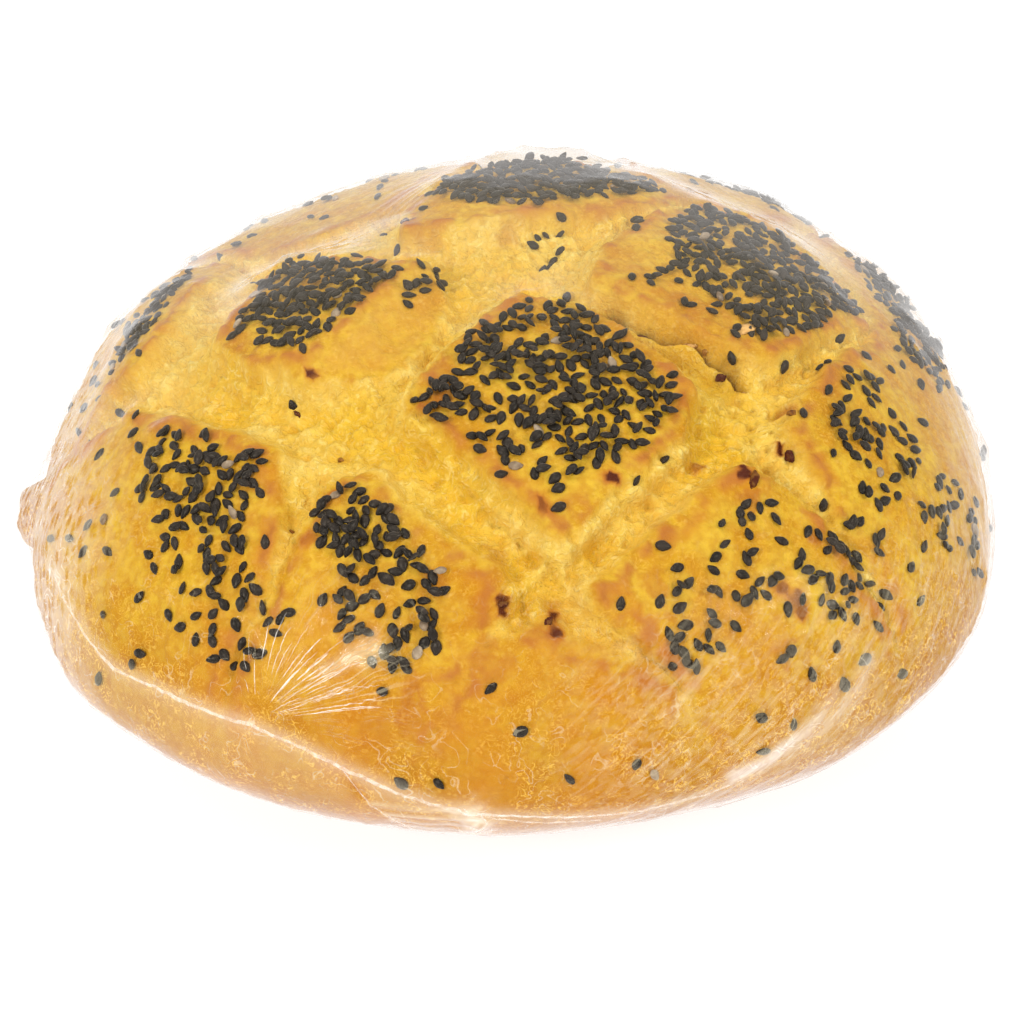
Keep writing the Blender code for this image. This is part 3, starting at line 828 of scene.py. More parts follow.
def drop_tree():
    """Geometry nodes that put a seed on each point, turned and sized as the point says."""
    tree = bpy.data.node_groups.new("sesame_on_points", "GeometryNodeTree")
    tree.interface.new_socket("Points", in_out="INPUT", socket_type="NodeSocketGeometry")
    numbers(tree, Length=SEED_LENGTH, Width=SEED_WIDTH, Thickness=SEED_THICK, Taper=SEED_TAPER)
    tree.interface.new_socket("Hull", in_out="INPUT", socket_type="NodeSocketMaterial")
    tree.interface.new_socket("Seeds", in_out="OUTPUT", socket_type="NodeSocketGeometry")
    parts = Wiring(tree)
    given = parts.node("NodeGroupInput").outputs

    ball = parts.made("GeometryNodeMeshUVSphere", "Mesh", Segments=8, Rings=6, Radius=0.5)
    place = parts.made("GeometryNodeInputPosition", "Position")
    axes = parts.node("ShaderNodeSeparateXYZ", Vector=place).outputs
    tip = parts.times(parts.reckon("MAXIMUM", axes["Z"], 0.0), 2.0)
    narrow = parts.reckon("SUBTRACT", 1.0, parts.times(tip, given["Taper"]))
    drop = parts.made("ShaderNodeCombineXYZ", "Vector",
                      X=parts.times(parts.times(axes["X"], given["Width"]), narrow),
                      Y=parts.times(parts.times(axes["Y"], given["Thickness"]), narrow),
                      Z=parts.times(axes["Z"], given["Length"]))
    seed = parts.made("GeometryNodeSetPosition", "Geometry", Geometry=ball, Position=drop)

    spots = parts.made("GeometryNodeMeshToPoints", "Points", Mesh=given["Points"])
    turn, size = [parts.made("GeometryNodeInputNamedAttribute", "Attribute",
                             {"data_type": "FLOAT_VECTOR"}, Name=name) for name in ("turn", "size")]
    turned = parts.made("FunctionNodeEulerToRotation", "Rotation", Euler=turn)
    seeds = parts.made("GeometryNodeInstanceOnPoints", "Instances", Points=spots, Instance=seed,
                       Rotation=turned, Scale=size)
    seeds = parts.made("GeometryNodeRealizeInstances", "Geometry", Geometry=seeds)
    seeds = parts.made("GeometryNodeSetShadeSmooth", "Geometry", Geometry=seeds)
    seeds = parts.made("GeometryNodeSetMaterial", "Geometry", Geometry=seeds,
                       Material=given["Hull"])
    parts.node("NodeGroupOutput", Seeds=seeds)
    return tree


def seed_lift(pile):
    """Height of a seed's middle above the crust."""
    return SEED_THICK * (SEED_REST + PILE_REST * pile)


def seed_turn(normal, pile, draw):
    """Euler turn of a seed that lies flat on the crust, or leans where it lies on others."""
    away = Vector([draw.gauss(0.0, 1.0) for _ in range(3)])
    lean = SEED_LEAN + PILE_LEAN * pile
    up = (Vector(normal) + lean * away.normalized() * draw.random() * 2.0).normalized()
    along = up.cross(Vector([draw.uniform(-1, 1) for _ in range(3)])).normalized()
    return Matrix((up.cross(along), up, along)).transposed().to_euler()


def scattered(name, seeds, tree, hull):
    """One piece of real seeds, made by the tree from their places, turns, sizes and tones."""
    places, turns, sizes, tones = zip(*seeds)
    mesh = bpy.data.meshes.new(name + "_points")
    mesh.from_pydata(places, [], [])
    point_values(mesh, "turn", [tuple(turn) for turn in turns], "FLOAT_VECTOR")
    point_values(mesh, "size", sizes, "FLOAT_VECTOR")
    point_values(mesh, "tone", tones)
    points = in_scene(name + "_points", mesh)
    modifier = points.modifiers.new("sesame", "NODES")
    modifier.node_group = tree
    sockets = {item.name: item.identifier for item in tree.interface.items_tree}
    modifier[sockets["Hull"]] = hull
    real = plain_mesh(points, name)
    bpy.data.objects.remove(points)
    return in_scene(name, real)


def make_seeds(places):
    """The sesame, as two pieces: black seeds, and the few that lost their dark hull."""
    draw = random.Random(SEED_RANDOM)
    kinds = {"black_sesame": [], "pale_sesame": []}
    for place, normal, pile in places:
        size = draw.uniform(*SEED_SIZES)
        sizes = (size * draw.uniform(*SEED_STRETCH), size, size)
        turn = seed_turn(normal, pile, draw)
        centre = Vector(place) + Vector(normal) * seed_lift(pile)
        kind = "pale_sesame" if draw.random() < PALE_SHARE else "black_sesame"
        kinds[kind].append((centre, turn, sizes, draw.random()))
    tree = drop_tree()
    hulls = {"black_sesame": black_hull(), "pale_sesame": pale_hull()}
    return [scattered(name, seeds, tree, hulls[name]) for name, seeds in kinds.items()]


# --- crumbs -----------------------------------------------------------------------------------

# Torn flakes and burnt crumbs in the cuts: (u, v), length, width and thickness in millimetres,
# turn in degrees, and tone from pale (0) to burnt (1).
CRUMBS_MM = (
    ((31, -1.2), (2.8, 1.5, 1.1), 20, 0.75), ((40.5, -4.2), (4.4, 2.6, 1.5), -40, 0.30),
    ((37, -3.2), (3.0, 1.8, 1.2), -15, 0.20), ((48, -5.6), (2.3, 1.7, 1.2), 10, 0.95),
    ((25, -0.2), (1.4, 1.1, 0.8), 50, 0.60), ((21, 1.0), (1.6, 1.0, 0.8), 0, 0.50),
    ((53, -7.2), (1.6, 1.2, 0.9), 30, 0.40), ((44, -5.4), (1.3, 1.0, 0.8), 80, 0.35),
    ((70.5, 0.5), (3.0, 2.1, 1.3), 25, 1.00), ((66, -5.5), (1.8, 1.2, 0.9), 60, 0.70),
    ((-32, 3), (2.2, 1.7, 1.2), 0, 1.00), ((-10, 58), (2.4, 1.2, 0.9), 35, 0.90),
    ((52, 66), (1.8, 1.3, 1.0), 0, 0.90), ((60, 62), (2.0, 1.4, 1.0), 45, 0.85),
    ((47, -14), (5.5, 2.2, 0.8), 30, 0.05), ((6, 62), (1.2, 0.9, 0.7), 0, 0.50),
    ((9, 79), (1.4, 0.9, 0.7), 0, 0.55), ((72, 15), (3.4, 1.7, 1.3), 70, 0.80),
)
CRUMB_SUNK = 0.25
# How rough they are: height and fineness of the noise, and its step from crumb to crumb.
CRUMB_ROUGH = ((0.55, 0.9, (7.3, 0.0, 0.0)), (0.30, 2.6, (0.0, 5.1, 0.0)))
ABOVE_ALL = 1.0


def plan_to_floor(u, v, shift):
    """The (x, y) that a place in the cuts' plan has."""
    across = u * math.cos(GRID_TURN) + v * math.sin(GRID_TURN)
    back = u * math.sin(GRID_TURN) - v * math.cos(GRID_TURN)
    return across + GRID_CENTRE[0] + shift[0], back + GRID_CENTRE[1] + shift[1]


def make_crumbs(loaf, shift):
    """Flakes and crumbs that broke off along the tears."""
    tree = surface(loaf)
    crumbs = bmesh.new()
    tones = []
    for number, (plan, size_mm, turn, tone) in enumerate(CRUMBS_MM):
        x, y = plan_to_floor(plan[0] * MM, plan[1] * MM, shift)
        place, up, _, _ = tree.ray_cast(Vector((x, y, ABOVE_ALL)), Vector((0.0, 0.0, -1.0)))
        size = Vector(size_mm) * MM
        stand = up.to_track_quat("Z", "Y").to_matrix().to_4x4()
        stand = (stand @ Matrix.Rotation(math.radians(turn), 4, "Z")).to_3x3()
        for vertex in bmesh.ops.create_icosphere(crumbs, subdivisions=3, radius=0.5)["verts"]:
            ball = vertex.co * 2.0
            rough = 1.0
            for height, fine, step in CRUMB_ROUGH:
                moved = Vector([number * part for part in step])
                rough += height * noise.noise(ball * fine + moved)
            shape = Vector([part * long for part, long in zip(vertex.co, size)]) * rough
            vertex.co = place + up * (size.z * (0.5 - CRUMB_SUNK)) + stand @ shape
            tones.append(tone)
    return new_piece("crumbs", crumbs, {"tone": tones}, crumb_material())


# --- film -------------------------------------------------------------------------------------

FILM_SPACINGS = ((0.0, 0.00112), (0.78, 0.00112), (0.84, 0.004), (1.0, 0.005))
FILM_CLEAR = 0.0003
FILM_ROUNDS = 260
FILM_PULL = 0.0000015
SEED_COVER = 0.0026
SEED_TOP = 0.0009
SEED_TOP_ROUND = 0.6

# Arcs of the film: azimuth of the middle, reach to each side and softness, all in degrees.
VEINED_ARC = (186.0, 22.0, 15.0)
STREAKY_ARC = (-38.0, 36.0, 18.0)
LAPPED_ARC = (-101.0, 42.0, 16.0)
# Heights below or above which the film shows these, and the run of each.
FILM_LOW = (0.085, 0.04)
VEINED_BELOW = (0.078, 0.02)
STREAKY_BELOW = (0.074, 0.02)
BROAD_BAND_BELOW = (0.054, 0.014)
BACK_ABOVE = (0.034, 0.036)
# The painted sheen behind the crown, paler toward the back: its share, where it starts behind the
# middle, and its run.
BACK_SHEEN = ((0.55, -0.055, 0.10), (0.45, 0.040, 0.020))
# Half widths of the lines on the film.
FOLD_WIDTH = 0.0019
BROAD_BAND_WIDTH = 0.0021
GLARE_WIDTH = 0.0015
FOLD_SHARE = 0.50
LAP_EDGE = 0.003
# How high the creases stand.
FAN_RISE = 0.0006
PLEAT_RISE = 0.0004
KNOT_RISE = 0.0007
CREASE_RISE = 0.00010
STREAK_RISE = 0.00030
CREASE_SIZE = 0.0032
CREASE_DRAWN = 0.12

# The fold where the film's two ends meet: (azimuth in degrees, height in millimetres).
FOLD = ((-152, 52), (-136, 47), (-130, 48), (-123, 48), (-118, 48), (-112, 46), (-107, 43),
        (-102, 40), (-97, 37), (-92, 35.5), (-88, 35), (-82, 34), (-77, 34), (-70, 35), (-66, 37),
        (-62, 39.5), (-58.5, 41.5), (-55, 44.5), (-52, 48.5), (-50, 52))
# The wide pale band where the fold climbs the right side.
BROAD_BAND = ((-67, 38), (-63, 40.5), (-60, 43), (-57, 46), (-54.5, 50), (-52.5, 54))
# Where the film bunches up between the creases: a painted highlight of white haze.
GLARE = ((-111, 60), (-109.5, 61.5), (-107.5, 63.5), (-105.5, 64))
# Ribbons of doubled film: width, thickness and crimp in millimetres, and their lines.
RIBBONS = (
    (0.75, 0.35, 0.30, FOLD[:12]),
    (0.40, 0.35, 0.25, FOLD[9:15]),
    (0.30, 0.30, 0.10, ((-108, 43.5), (-106.5, 40), (-105, 36.5), (-103.5, 33.5), (-102, 30),
                        (-101, 27))),
    (0.40, 0.35, 0.30, ((-95.2, 37.5), (-94.2, 36.5), (-93.4, 35), (-93.2, 33), (-94, 31.5),
                        (-95, 32))),
    (0.40, 0.35, 0.30, ((-96, 30.5), (-95, 28.8), (-93.6, 28.2), (-92.6, 29.5), (-92.8, 31.5))),
    (0.35, 0.30, 0.25, ((-93, 35), (-89, 33.2), (-85, 32.4), (-81, 32))),
)
# Pleats drawn to the knot where the film was twisted shut, and the flap's open slot.
PLEATS = (
    ((-105, 36.5), (-102, 36.3), (-99, 36.2), (-96, 36.8)),
    ((-103.5, 34), (-101, 34), (-98, 34), (-95.5, 35)),
    ((-103, 32), (-100, 31.5), (-97.5, 31.8), (-95, 33)),
    ((-102, 29.5), (-99, 29), (-96, 30), (-94.5, 31)),
)
PLEAT_WIDTH = 0.0005
KNOT = ((-94.8, 36.5), (-94.0, 33.5), (-94.2, 30.5))
KNOT_WIDTH = 0.0029
SLOT = ((-108.2, 43.2), (-107.0, 40.5), (-106.0, 38.0))
SLOT_WIDTH = 0.0013
RIBBON_SIDES = 8
RIBBON_STEP = 0.0005
RIBBON_MILK = 0.06
RIBBON_TIP = 0.08
RIBBON_SWAY = 0.45
RIBBON_STAND = 0.45
# Noise along a ribbon: its rate with each step, its step from ribbon to ribbon, and its layer.
RIPPLE_NOISE = (0.35, 3.1, 0.5)
SWAY_NOISE = (0.09, 1.7, 2.5)
PROFILE_LENGTH = 0.24
RIGHT_SLANT = math.radians(42.0)
LEFT_SLANT = math.radians(116.0)
# Creases that fan out from a pinch in the film.
FAN_AZIMUTH = -117.6
FAN_HEIGHT_MM = 49.5
# The fan's start and end, with the run of each: angle in radians, and distance from the pinch.
FAN_ANGLES = (-0.15, 0.25, 1.75, 0.35)
FAN_REACH = (0.002, 0.004, 0.036, 0.016)
FAN_STRONGEST = (0.60, 0.45)
# The sharpest of those creases: first and last angle in degrees, count, length in millimetres.
FAN_RIDGES = ((18, 60, 24, 20.0), (62, 84, 6, 14.0), (94, 116, 5, 9.0))
FAN_SEED = 5
FAN_STRAY = 1.5
FAN_START_MM = (3.0, 13.0)
FAN_LENGTHS = (0.25, 0.90)
FAN_BEND = 0.12
FAN_WIDTH_MM = (0.10, 0.26)
FAN_MILK = (0.03, 0.24)
FAN_STEP = 0.0006
FAN_THICK = 0.6
FAN_CRIMP = 0.00006


def share_at(height):
    """Share along the profile, above the foot, at which the loaf has this height."""
    shares = np.linspace(0.0, CROWN_SHARE + SKIRT_SHARE, 600)
    return np.interp(-height, -profile(shares)[1], shares)


def side_points(places):
    """Points on the smooth loaf at (azimuth in degrees, height in millimetres)."""
    azimuths, heights = np.array(places, dtype=float).T
    return loaf_point(share_at(heights * MM), np.radians(azimuths))


def side_distance(points, places):
    """Distance of each point to a line on the loaf's side."""
    return line_distance(points, side_points(places))


def stretch(faces, height):
    """Lay a taut skin over the heights: it touches the high places and spans the low ones."""
    edges = np.sort(np.concatenate([faces[:, :2], faces[:, 1:], faces[:, ::2]]), axis=1)
    edges = np.unique(edges, axis=0)
    first, second = edges.T
    count = len(height)
    links = np.bincount(first, minlength=count) + np.bincount(second, minlength=count)
    skin = height.copy()
    for _ in range(FILM_ROUNDS):
        around = np.bincount(first, skin[second], count) + np.bincount(second, skin[first], count)
        skin = np.maximum(height, around / links - FILM_PULL)
    return skin


def fan_axes(normal):
    """Directions across and up the film at the pinch that the fan starts from."""
    across = np.cross(np.array([0.0, 0.0, 1.0]), normal)
    across /= np.linalg.norm(across)
    return across, np.cross(normal, across)


def fan_mask(points, normals):
    """How strongly the fan creases the film at each point, and the angle there."""
    away = points - side_points([(FAN_AZIMUTH, FAN_HEIGHT_MM)])[0]
    reach = np.linalg.norm(away, axis=1)
    across, upward = fan_axes(normals[np.argmin(reach)])
    angle = np.arctan2(away @ upward, away @ across)
    fan = window(angle, *FAN_ANGLES) * window(reach, *FAN_REACH)
    fan *= 0.45 + 0.55 * bell(angle - FAN_STRONGEST[0], FAN_STRONGEST[1])
    return fan, angle + 0.05 * lumps(points, 0.006, 2, 0.6)


def over_seeds(points, places, shift):
    """How far the film has to stand off the crust at each point to pass over the sesame."""
    tree = KDTree(len(points))
    for number, point in enumerate(points + shift):
        tree.insert(point, number)
    tree.balance()
    rise = np.zeros(len(points))
    for place, _, pile in places:
        for _, number, away in tree.find_range(place, SEED_COVER):
            top = seed_lift(pile) + SEED_TOP * (1.0 - SEED_TOP_ROUND * (away / SEED_COVER) ** 2)
            rise[number] = max(rise[number], top)
    return rise


def fold_height(azimuth):
    """Height of the fold at each azimuth."""
    azimuths, heights = np.array(FOLD, dtype=float).T
    degrees = np.degrees((azimuth + math.pi) % (2.0 * math.pi) - math.pi)
    return np.interp(degrees, azimuths, heights) * MM


def creasing(share, azimuth):
    """Places across and along the creases, which slant one way at the left and back, and the
    other way at the right."""
    from_back = (azimuth - math.pi / 2) % (2.0 * math.pi)
    arc, up = from_back * LOAF_RADIUS, -share * PROFILE_LENGTH
    slant = np.where(from_back > math.pi, RIGHT_SLANT, LEFT_SLANT)
    return arc * np.sin(slant) - up * np.cos(slant), arc * np.cos(slant) + up * np.sin(slant)


def arc_window(azimuth, middle, reach, soft):
    """1 within some degrees of an azimuth, 0 further round."""
    away = np.abs((np.degrees(azimuth) - middle + 180.0) % 360.0 - 180.0)
    return smooth((reach + soft - away) / soft)


def make_film(shift, places):
    """The film: one taut closed skin round the loaf, with creases, veins, whiter doubled places,
    and painted glints, sheen and highlight.
    """
    share, azimuth, faces = ring_mesh(FILM_SPACINGS)
    points = loaf_point(share, azimuth)
    normals = point_normals(points, faces)
    push, _ = relief(points)
    rise = over_seeds(points + normals * push[:, None], places, shift)
    skin = stretch(faces, push + FILM_CLEAR + rise + swellings(points, LIFTED_MM))

    fan, angle = fan_mask(points, normals)
    ridges = np.array([noise.noise((value * 9.0, 0.3, 0.1)) for value in angle])
    skin += FAN_RISE * fan * np.abs(ridges)

    fold = bell(side_distance(points, FOLD), FOLD_WIDTH)
    broad = side_distance(points, BROAD_BAND) * (1.0 + 0.5 * lumps(points, 0.004, 2, 1.3))
    broad = bell(broad, BROAD_BAND_WIDTH) * below(points, *BROAD_BAND_BELOW)
    # A painted highlight where the film bunches up between the creases.
    glare = side_distance(points, GLARE) * (1.0 + 0.7 * lumps(points, 0.003, 3, 2.3))
    slot = bell(side_distance(points, SLOT), SLOT_WIDTH)
    lap = smooth((fold_height(azimuth) - points[:, 2]) / LAP_EDGE) * (1.0 - slot)

    pleats = bell(np.min([side_distance(points, line) for line in PLEATS], axis=0), PLEAT_WIDTH)
    knot = side_distance(points, KNOT) * (1.0 + 0.35 * lumps(points, 0.003, 2, 3.3))
    knot = bell(knot, KNOT_WIDTH)
    curls = uneven(0.35, (1.5, np.abs(lumps(points, 0.0022, 2, 5.3))))
    skin += PLEAT_RISE * pleats + KNOT_RISE * knot
    skin += KNOT_RISE * knot * np.abs(lumps(points, 0.0024, 2, 4.3))

    across, along = creasing(share, azimuth)
    low = below(points, *FILM_LOW)
    streaky = arc_window(azimuth, *STREAKY_ARC) * below(points, *STREAKY_BELOW)
    drawn = np.stack([across, along * CREASE_DRAWN, share * 0.0], axis=1)
    skin += (CREASE_RISE + STREAK_RISE * streaky) * np.abs(lumps(drawn, CREASE_SIZE, 2)) * low
    # Painted sheen, paler toward the back of the crown.
    back = sum(part * smooth((points[:, 1] - start) / run) for part, start, run in BACK_SHEEN)

    attributes = {
        "fan": fan,
        "fan_angle": angle,
        "band": np.maximum(fold * FOLD_SHARE, broad),
        "pleats": np.maximum(0.6 * pleats, curls * knot),
        "back": back * above(points, *BACK_ABOVE),
        "glare": bell(glare, GLARE_WIDTH),
        "below_fold": lap * arc_window(azimuth, *LAPPED_ARC),
        "veined": arc_window(azimuth, *VEINED_ARC) * below(points, *VEINED_BELOW),
        "streaky": streaky,
        "across": across,
        "along": along,
        "low": low,
    }
    points = points + normals * skin[:, None]
    points[:, 2] = np.maximum(points[:, 2], 0.0)
    return new_piece("film", (points + shift, faces), attributes, film_material())


def even_line(places, spacing):
    """Points evenly along a smooth curve through places on the smooth loaf."""
    places = np.array(places, dtype=float)
    lengths = np.linalg.norm(np.diff(side_points(places), axis=0), axis=1)
    steps = np.concatenate([[0.0], np.cumsum(lengths)])
    share = np.linspace(0.0, steps[-1], max(4, int(steps[-1] / spacing)))
    smoothed = [np.interp(share, steps, column) for column in places.T]
    return side_points(np.stack(smoothed, axis=1))


def ribbon_noise(step, number, rates):
    """Noise at a step along one of the ribbons."""
    return noise.noise((step * rates[0], number * rates[1], rates[2]))


def ribbon(tree, line, width, thick, crimp, number):
    """Points and faces of a flat closed ribbon of film along a line on the film."""
    turns = [side * 2.0 * math.pi / RIBBON_SIDES for side in range(RIBBON_SIDES)]
    last = len(line) - 1
    points = []
    for step, place in enumerate(line):
        on_film, out, _, _ = tree.find_nearest(Vector(place))
        ahead = Vector(line[min(step + 1, last)] - line[max(step - 1, 0)]).normalized()
        down = out.cross(ahead).normalized()
        taper = min(1.0, 4.0 * step / len(line), 4.0 * (last - step) / len(line)) ** 0.5
        sway = 1.0 + RIBBON_SWAY * ribbon_noise(step, number, SWAY_NOISE)
        half = 0.5 * width * (RIBBON_TIP + (1.0 - RIBBON_TIP) * taper) * sway
        ripple = crimp * ribbon_noise(step, number, RIPPLE_NOISE)
        middle = on_film + out * (RIBBON_STAND * thick) + down * ripple
        points += [middle + down * (half * math.cos(turn)) + out * (0.5 * thick * math.sin(turn))
                   for turn in turns]
    faces = [tuple(reversed(range(RIBBON_SIDES))),
             tuple(range(last * RIBBON_SIDES, (last + 1) * RIBBON_SIDES))]
    for row in range(0, last * RIBBON_SIDES, RIBBON_SIDES):
        for side in range(RIBBON_SIDES):
            after = (side + 1) % RIBBON_SIDES
            faces.append((row + side, row + after, row + RIBBON_SIDES + after,
                          row + RIBBON_SIDES + side))
    return points, faces


def fan_strips(tree, shift):
    """The sharp creases that run out from the pinch, as strips of ribbon."""
    draw = random.Random(FAN_SEED)
    middle = side_points([(FAN_AZIMUTH, FAN_HEIGHT_MM)])[0]
    across, upward = fan_axes(np.array(tree.find_nearest(Vector(middle))[1]))
    strips = []
    for first, last, count, length in FAN_RIDGES:
        for number in range(count):
            even = first + (last - first) * number / (count - 1)
            angle = math.radians(even + draw.uniform(-FAN_STRAY, FAN_STRAY))
            start = draw.uniform(*FAN_START_MM) * MM
            reach = start + length * draw.uniform(*FAN_LENGTHS) * MM
            bend = draw.uniform(-FAN_BEND, FAN_BEND)
            steps = np.linspace(0.0, 1.0, max(8, int((reach - start) / FAN_STEP)))[:, None]
            turn = angle + bend * steps * (1.0 - steps)
            away = np.cos(turn) * across + np.sin(turn) * upward
            line = middle + shift + (start + (reach - start) * steps) * away
            width = draw.uniform(*FAN_WIDTH_MM) * MM
            milk = draw.uniform(*FAN_MILK)
            strips.append((line, width, FAN_THICK * width, FAN_CRIMP, milk))
    return strips


def make_folds(film, shift):
    """Ribbons of doubled film: the fold, the weld's gathers and the flap beside them."""
    tree = surface(film)
    strips = [(even_line(line, RIBBON_STEP) + shift, width * MM, thick * MM, crimp * MM,
               RIBBON_MILK) for width, thick, crimp, line in RIBBONS]
    folds, milk = bmesh.new(), []
    for number, (line, width, thick, crimp, milky) in enumerate(strips + fan_strips(tree, shift)):
        points, faces = ribbon(tree, line, width, thick, crimp, number)
        corners = [folds.verts.new(point) for point in points]
        for face in faces:
            folds.faces.new([corners[index] for index in face])
        milk += [milky] * len(points)
    bmesh.ops.recalc_face_normals(folds, faces=folds.faces)
    return new_piece("film_folds", folds, {"milky": milk}, fold_material())


# --- materials --------------------------------------------------------------------------------


class Painter(Wiring):
    """Adds nodes to one material's tree."""

    def __init__(self, name):
        self.material = bpy.data.materials.new(name)
        self.material.use_nodes = True
        super().__init__(self.material.node_tree)

    def attribute(self, name):
        """A float attribute of the mesh."""
        return self.made("ShaderNodeAttribute", "Fac", {"attribute_name": name})

    def place(self):
        """Where a point lies on the piece."""
        return self.made("ShaderNodeTexCoord", "Object")

    def grain(self, place, scale, detail, settings=(), **inputs):
        """Noise at a place."""
        return self.made("ShaderNodeTexNoise", "Fac", settings, Vector=place, Scale=scale,
                         Detail=detail, **inputs)

    def ridge(self, place, scale, distortion):
        """Distance from the winding lines where a soft noise is even."""
        lines = self.grain(place, scale, 1.0, Distortion=distortion)
        return self.reckon("ABSOLUTE", self.reckon("SUBTRACT", lines, 0.5))

    def span(self, value, low, high, to_low=0.0, to_high=1.0):
        """A clamped, smooth Map Range."""
        return self.made("ShaderNodeMapRange", "Result", {"interpolation_type": "SMOOTHSTEP"},
                         Value=value, From_Min=low, From_Max=high, To_Min=to_low, To_Max=to_high)

    def blend(self, share, first, second):
        """Mix two colours."""
        node = self.node("ShaderNodeMix", {"data_type": "RGBA"})
        for number, value in ((0, share), (6, first), (7, second)):
            self.feed(node.inputs[number], value)
        return node.outputs[2]

    def over(self, colour, *layers):
        """Lay screen colours over a colour, each by its share."""
        for share, tint in layers:
            colour = self.blend(share, colour, srgb(*tint))
        return colour

    def mottle(self, scale, low=0.35, high=0.65, detail=3.0, shift=0.0):
        """The shared mottling group, placed with its own values."""
        return self.made("ShaderNodeGroup", "Mask", {"node_tree": mottle_group()}, Scale=scale,
                         Detail=detail, Low=low, High=high, Shift=shift)

    def finish(self, **inputs):
        """Feed the shader's own sockets; the finished material."""
        shader = self.tree.nodes["Principled BSDF"]
        for key, value in inputs.items():
            self.feed(shader.inputs[key.replace("_", " ")], value)
        return self.material


def srgb(red, green, blue):
    """A colour given as it looks on screen, 0 to 255."""
    linear = []
    for value in (red / 255.0, green / 255.0, blue / 255.0):
        linear.append(value / 12.92 if value <= 0.04045 else ((value + 0.055) / 1.055) ** 2.4)
    return (*linear, 1.0)


def mottle_group():
    """Shader group: soft blotches on object coordinates, as a mask."""
    if "mottle" in bpy.data.node_groups:
        return bpy.data.node_groups["mottle"]
    tree = bpy.data.node_groups.new("mottle", "ShaderNodeTree")
    numbers(tree, Scale=100.0, Detail=3.0, Low=0.35, High=0.65, Shift=0.0)
    tree.interface.new_socket("Mask", in_out="OUTPUT", socket_type="NodeSocketFloat")
    parts = Wiring(tree)
    given = parts.node("NodeGroupInput").outputs
    moved = parts.node("ShaderNodeVectorMath")
    parts.feed(moved.inputs[0], parts.made("ShaderNodeTexCoord", "Object"))
    parts.feed(moved.inputs[1], given["Shift"])
    blotch = parts.made("ShaderNodeTexNoise", "Fac", Vector=moved.outputs["Vector"],
                        Scale=given["Scale"], Detail=given["Detail"])
    mask = parts.made("ShaderNodeMapRange", "Result", {"interpolation_type": "SMOOTHSTEP"},
                      Value=blotch, From_Min=given["Low"], From_Max=given["High"])
    parts.node("NodeGroupOutput", Mask=mask)
    return tree


def bread_material():
    """Golden crust, pale torn crumb, tan rims and browning; painted shade in the cuts, a painted
    shadow in the flap's slot, and a painted sheen on the crust.
    """
    paint = Painter("golden_crust_and_crumb")
    torn, low, browned_and_flap_shadow = [paint.attribute(name) for name in ("torn", "low", "browned_and_flap_shadow")]
    place = paint.place()
    wide = paint.mottle(50.0, 0.36, 0.64, detail=2.0)
    medium = paint.mottle(150.0, 0.38, 0.64, detail=2.0, shift=5.0)
    fine = paint.mottle(520.0, 0.34, 0.66, detail=3.0, shift=2.0)
    strands = paint.grain(place, 460.0, 3.0, Roughness=0.60, Distortion=2.2)
    dots_away = paint.made("ShaderNodeTexVoronoi", "Distance", Vector=place, Scale=640.0)
    # Dark dots of painted shade for the crumb's open pores.
    pores = paint.times(paint.span(dots_away, 0.30, 0.14), paint.span(medium, 0.30, 0.75))
    bubbles = paint.times(paint.span(dots_away, 0.34, 0.20), fine)
    # Pale winding lines on the crust: painted sheen of air pockets under the film.
    pocket_sheen_lines = paint.span(paint.ridge(place, 560.0, 1.4), 0.040, 0.008)
    pocket_sheen_lines = paint.times(pocket_sheen_lines, paint.span(medium, 0.90, 0.35))

    crumb = paint.over(
        paint.blend(wide, srgb(236, 200, 98), srgb(226, 179, 50)),
        (paint.times(medium, 0.5), (232, 190, 68)),
        (paint.span(strands, 0.48, 0.68, 0.0, 0.60), (248, 226, 140)),
        # Painted shade in the crumb's hollows.
        (paint.times(paint.attribute("hollow_shade"), 0.50), (222, 170, 36)),
        # Painted shade in the crumb's open pores.
        (paint.times(pores, 0.40), (206, 150, 30)),
        # Painted shade, a deeper yellow lower in the cuts.
        (paint.span(paint.attribute("depth"), 0.45, 1.0, 0.0, 0.4), (232, 186, 40)),
        # Painted shade in the crumb's open pits.
        (paint.times(paint.attribute("pit_shade"), 0.9), (140, 90, 10)),
        # Painted shade in the narrow tears.
        (paint.times(paint.attribute("crack"), 0.85), (104, 66, 10)))
    crust = paint.over(
        paint.blend(wide, srgb(210, 162, 34), srgb(196, 137, 15)),
        (paint.times(medium, 0.6), (222, 183, 58)),
        (paint.times(fine, 0.45), (178, 112, 10)),
        (paint.times(low, 0.85), (154, 80, 0)),
        (paint.times(bubbles, 0.38), (230, 188, 84)),
        (paint.times(pocket_sheen_lines, paint.span(low, 0.0, 0.6, 0.26, 0.74)), (244, 198, 84)))
    colour = paint.over(
        paint.blend(torn, crust, crumb),
        (paint.times(paint.attribute("amber"), 0.62), (194, 120, 22)),
        (paint.times(paint.attribute("rim"), 0.85), (178, 108, 46)),
        # Browning, and the painted shadow of the film's flap in its slot.
        (paint.span(browned_and_flap_shadow, 0.0, 0.85, 0.0, 0.85), (176, 100, 30)),
        (paint.span(browned_and_flap_shadow, 0.50, 0.95), (82, 32, 12)))

    grit = paint.grain(place, 420.0, 3.0, Roughness=0.62)
    fluff = paint.reckon("MULTIPLY_ADD", grit, 0.9, paint.times(strands, 0.6))
    height = paint.made("ShaderNodeMix", "Result", {"data_type": "FLOAT"}, Factor=torn,
                        A=paint.times(grit, 0.55), B=fluff)
    bump = paint.made("ShaderNodeBump", "Normal", Strength=1.0, Distance=0.0010, Height=height)
    return paint.finish(Base_Color=colour, Roughness=paint.span(torn, 0.0, 1.0, 0.50, 0.85),
                        Specular_IOR_Level=0.12, Normal=bump)


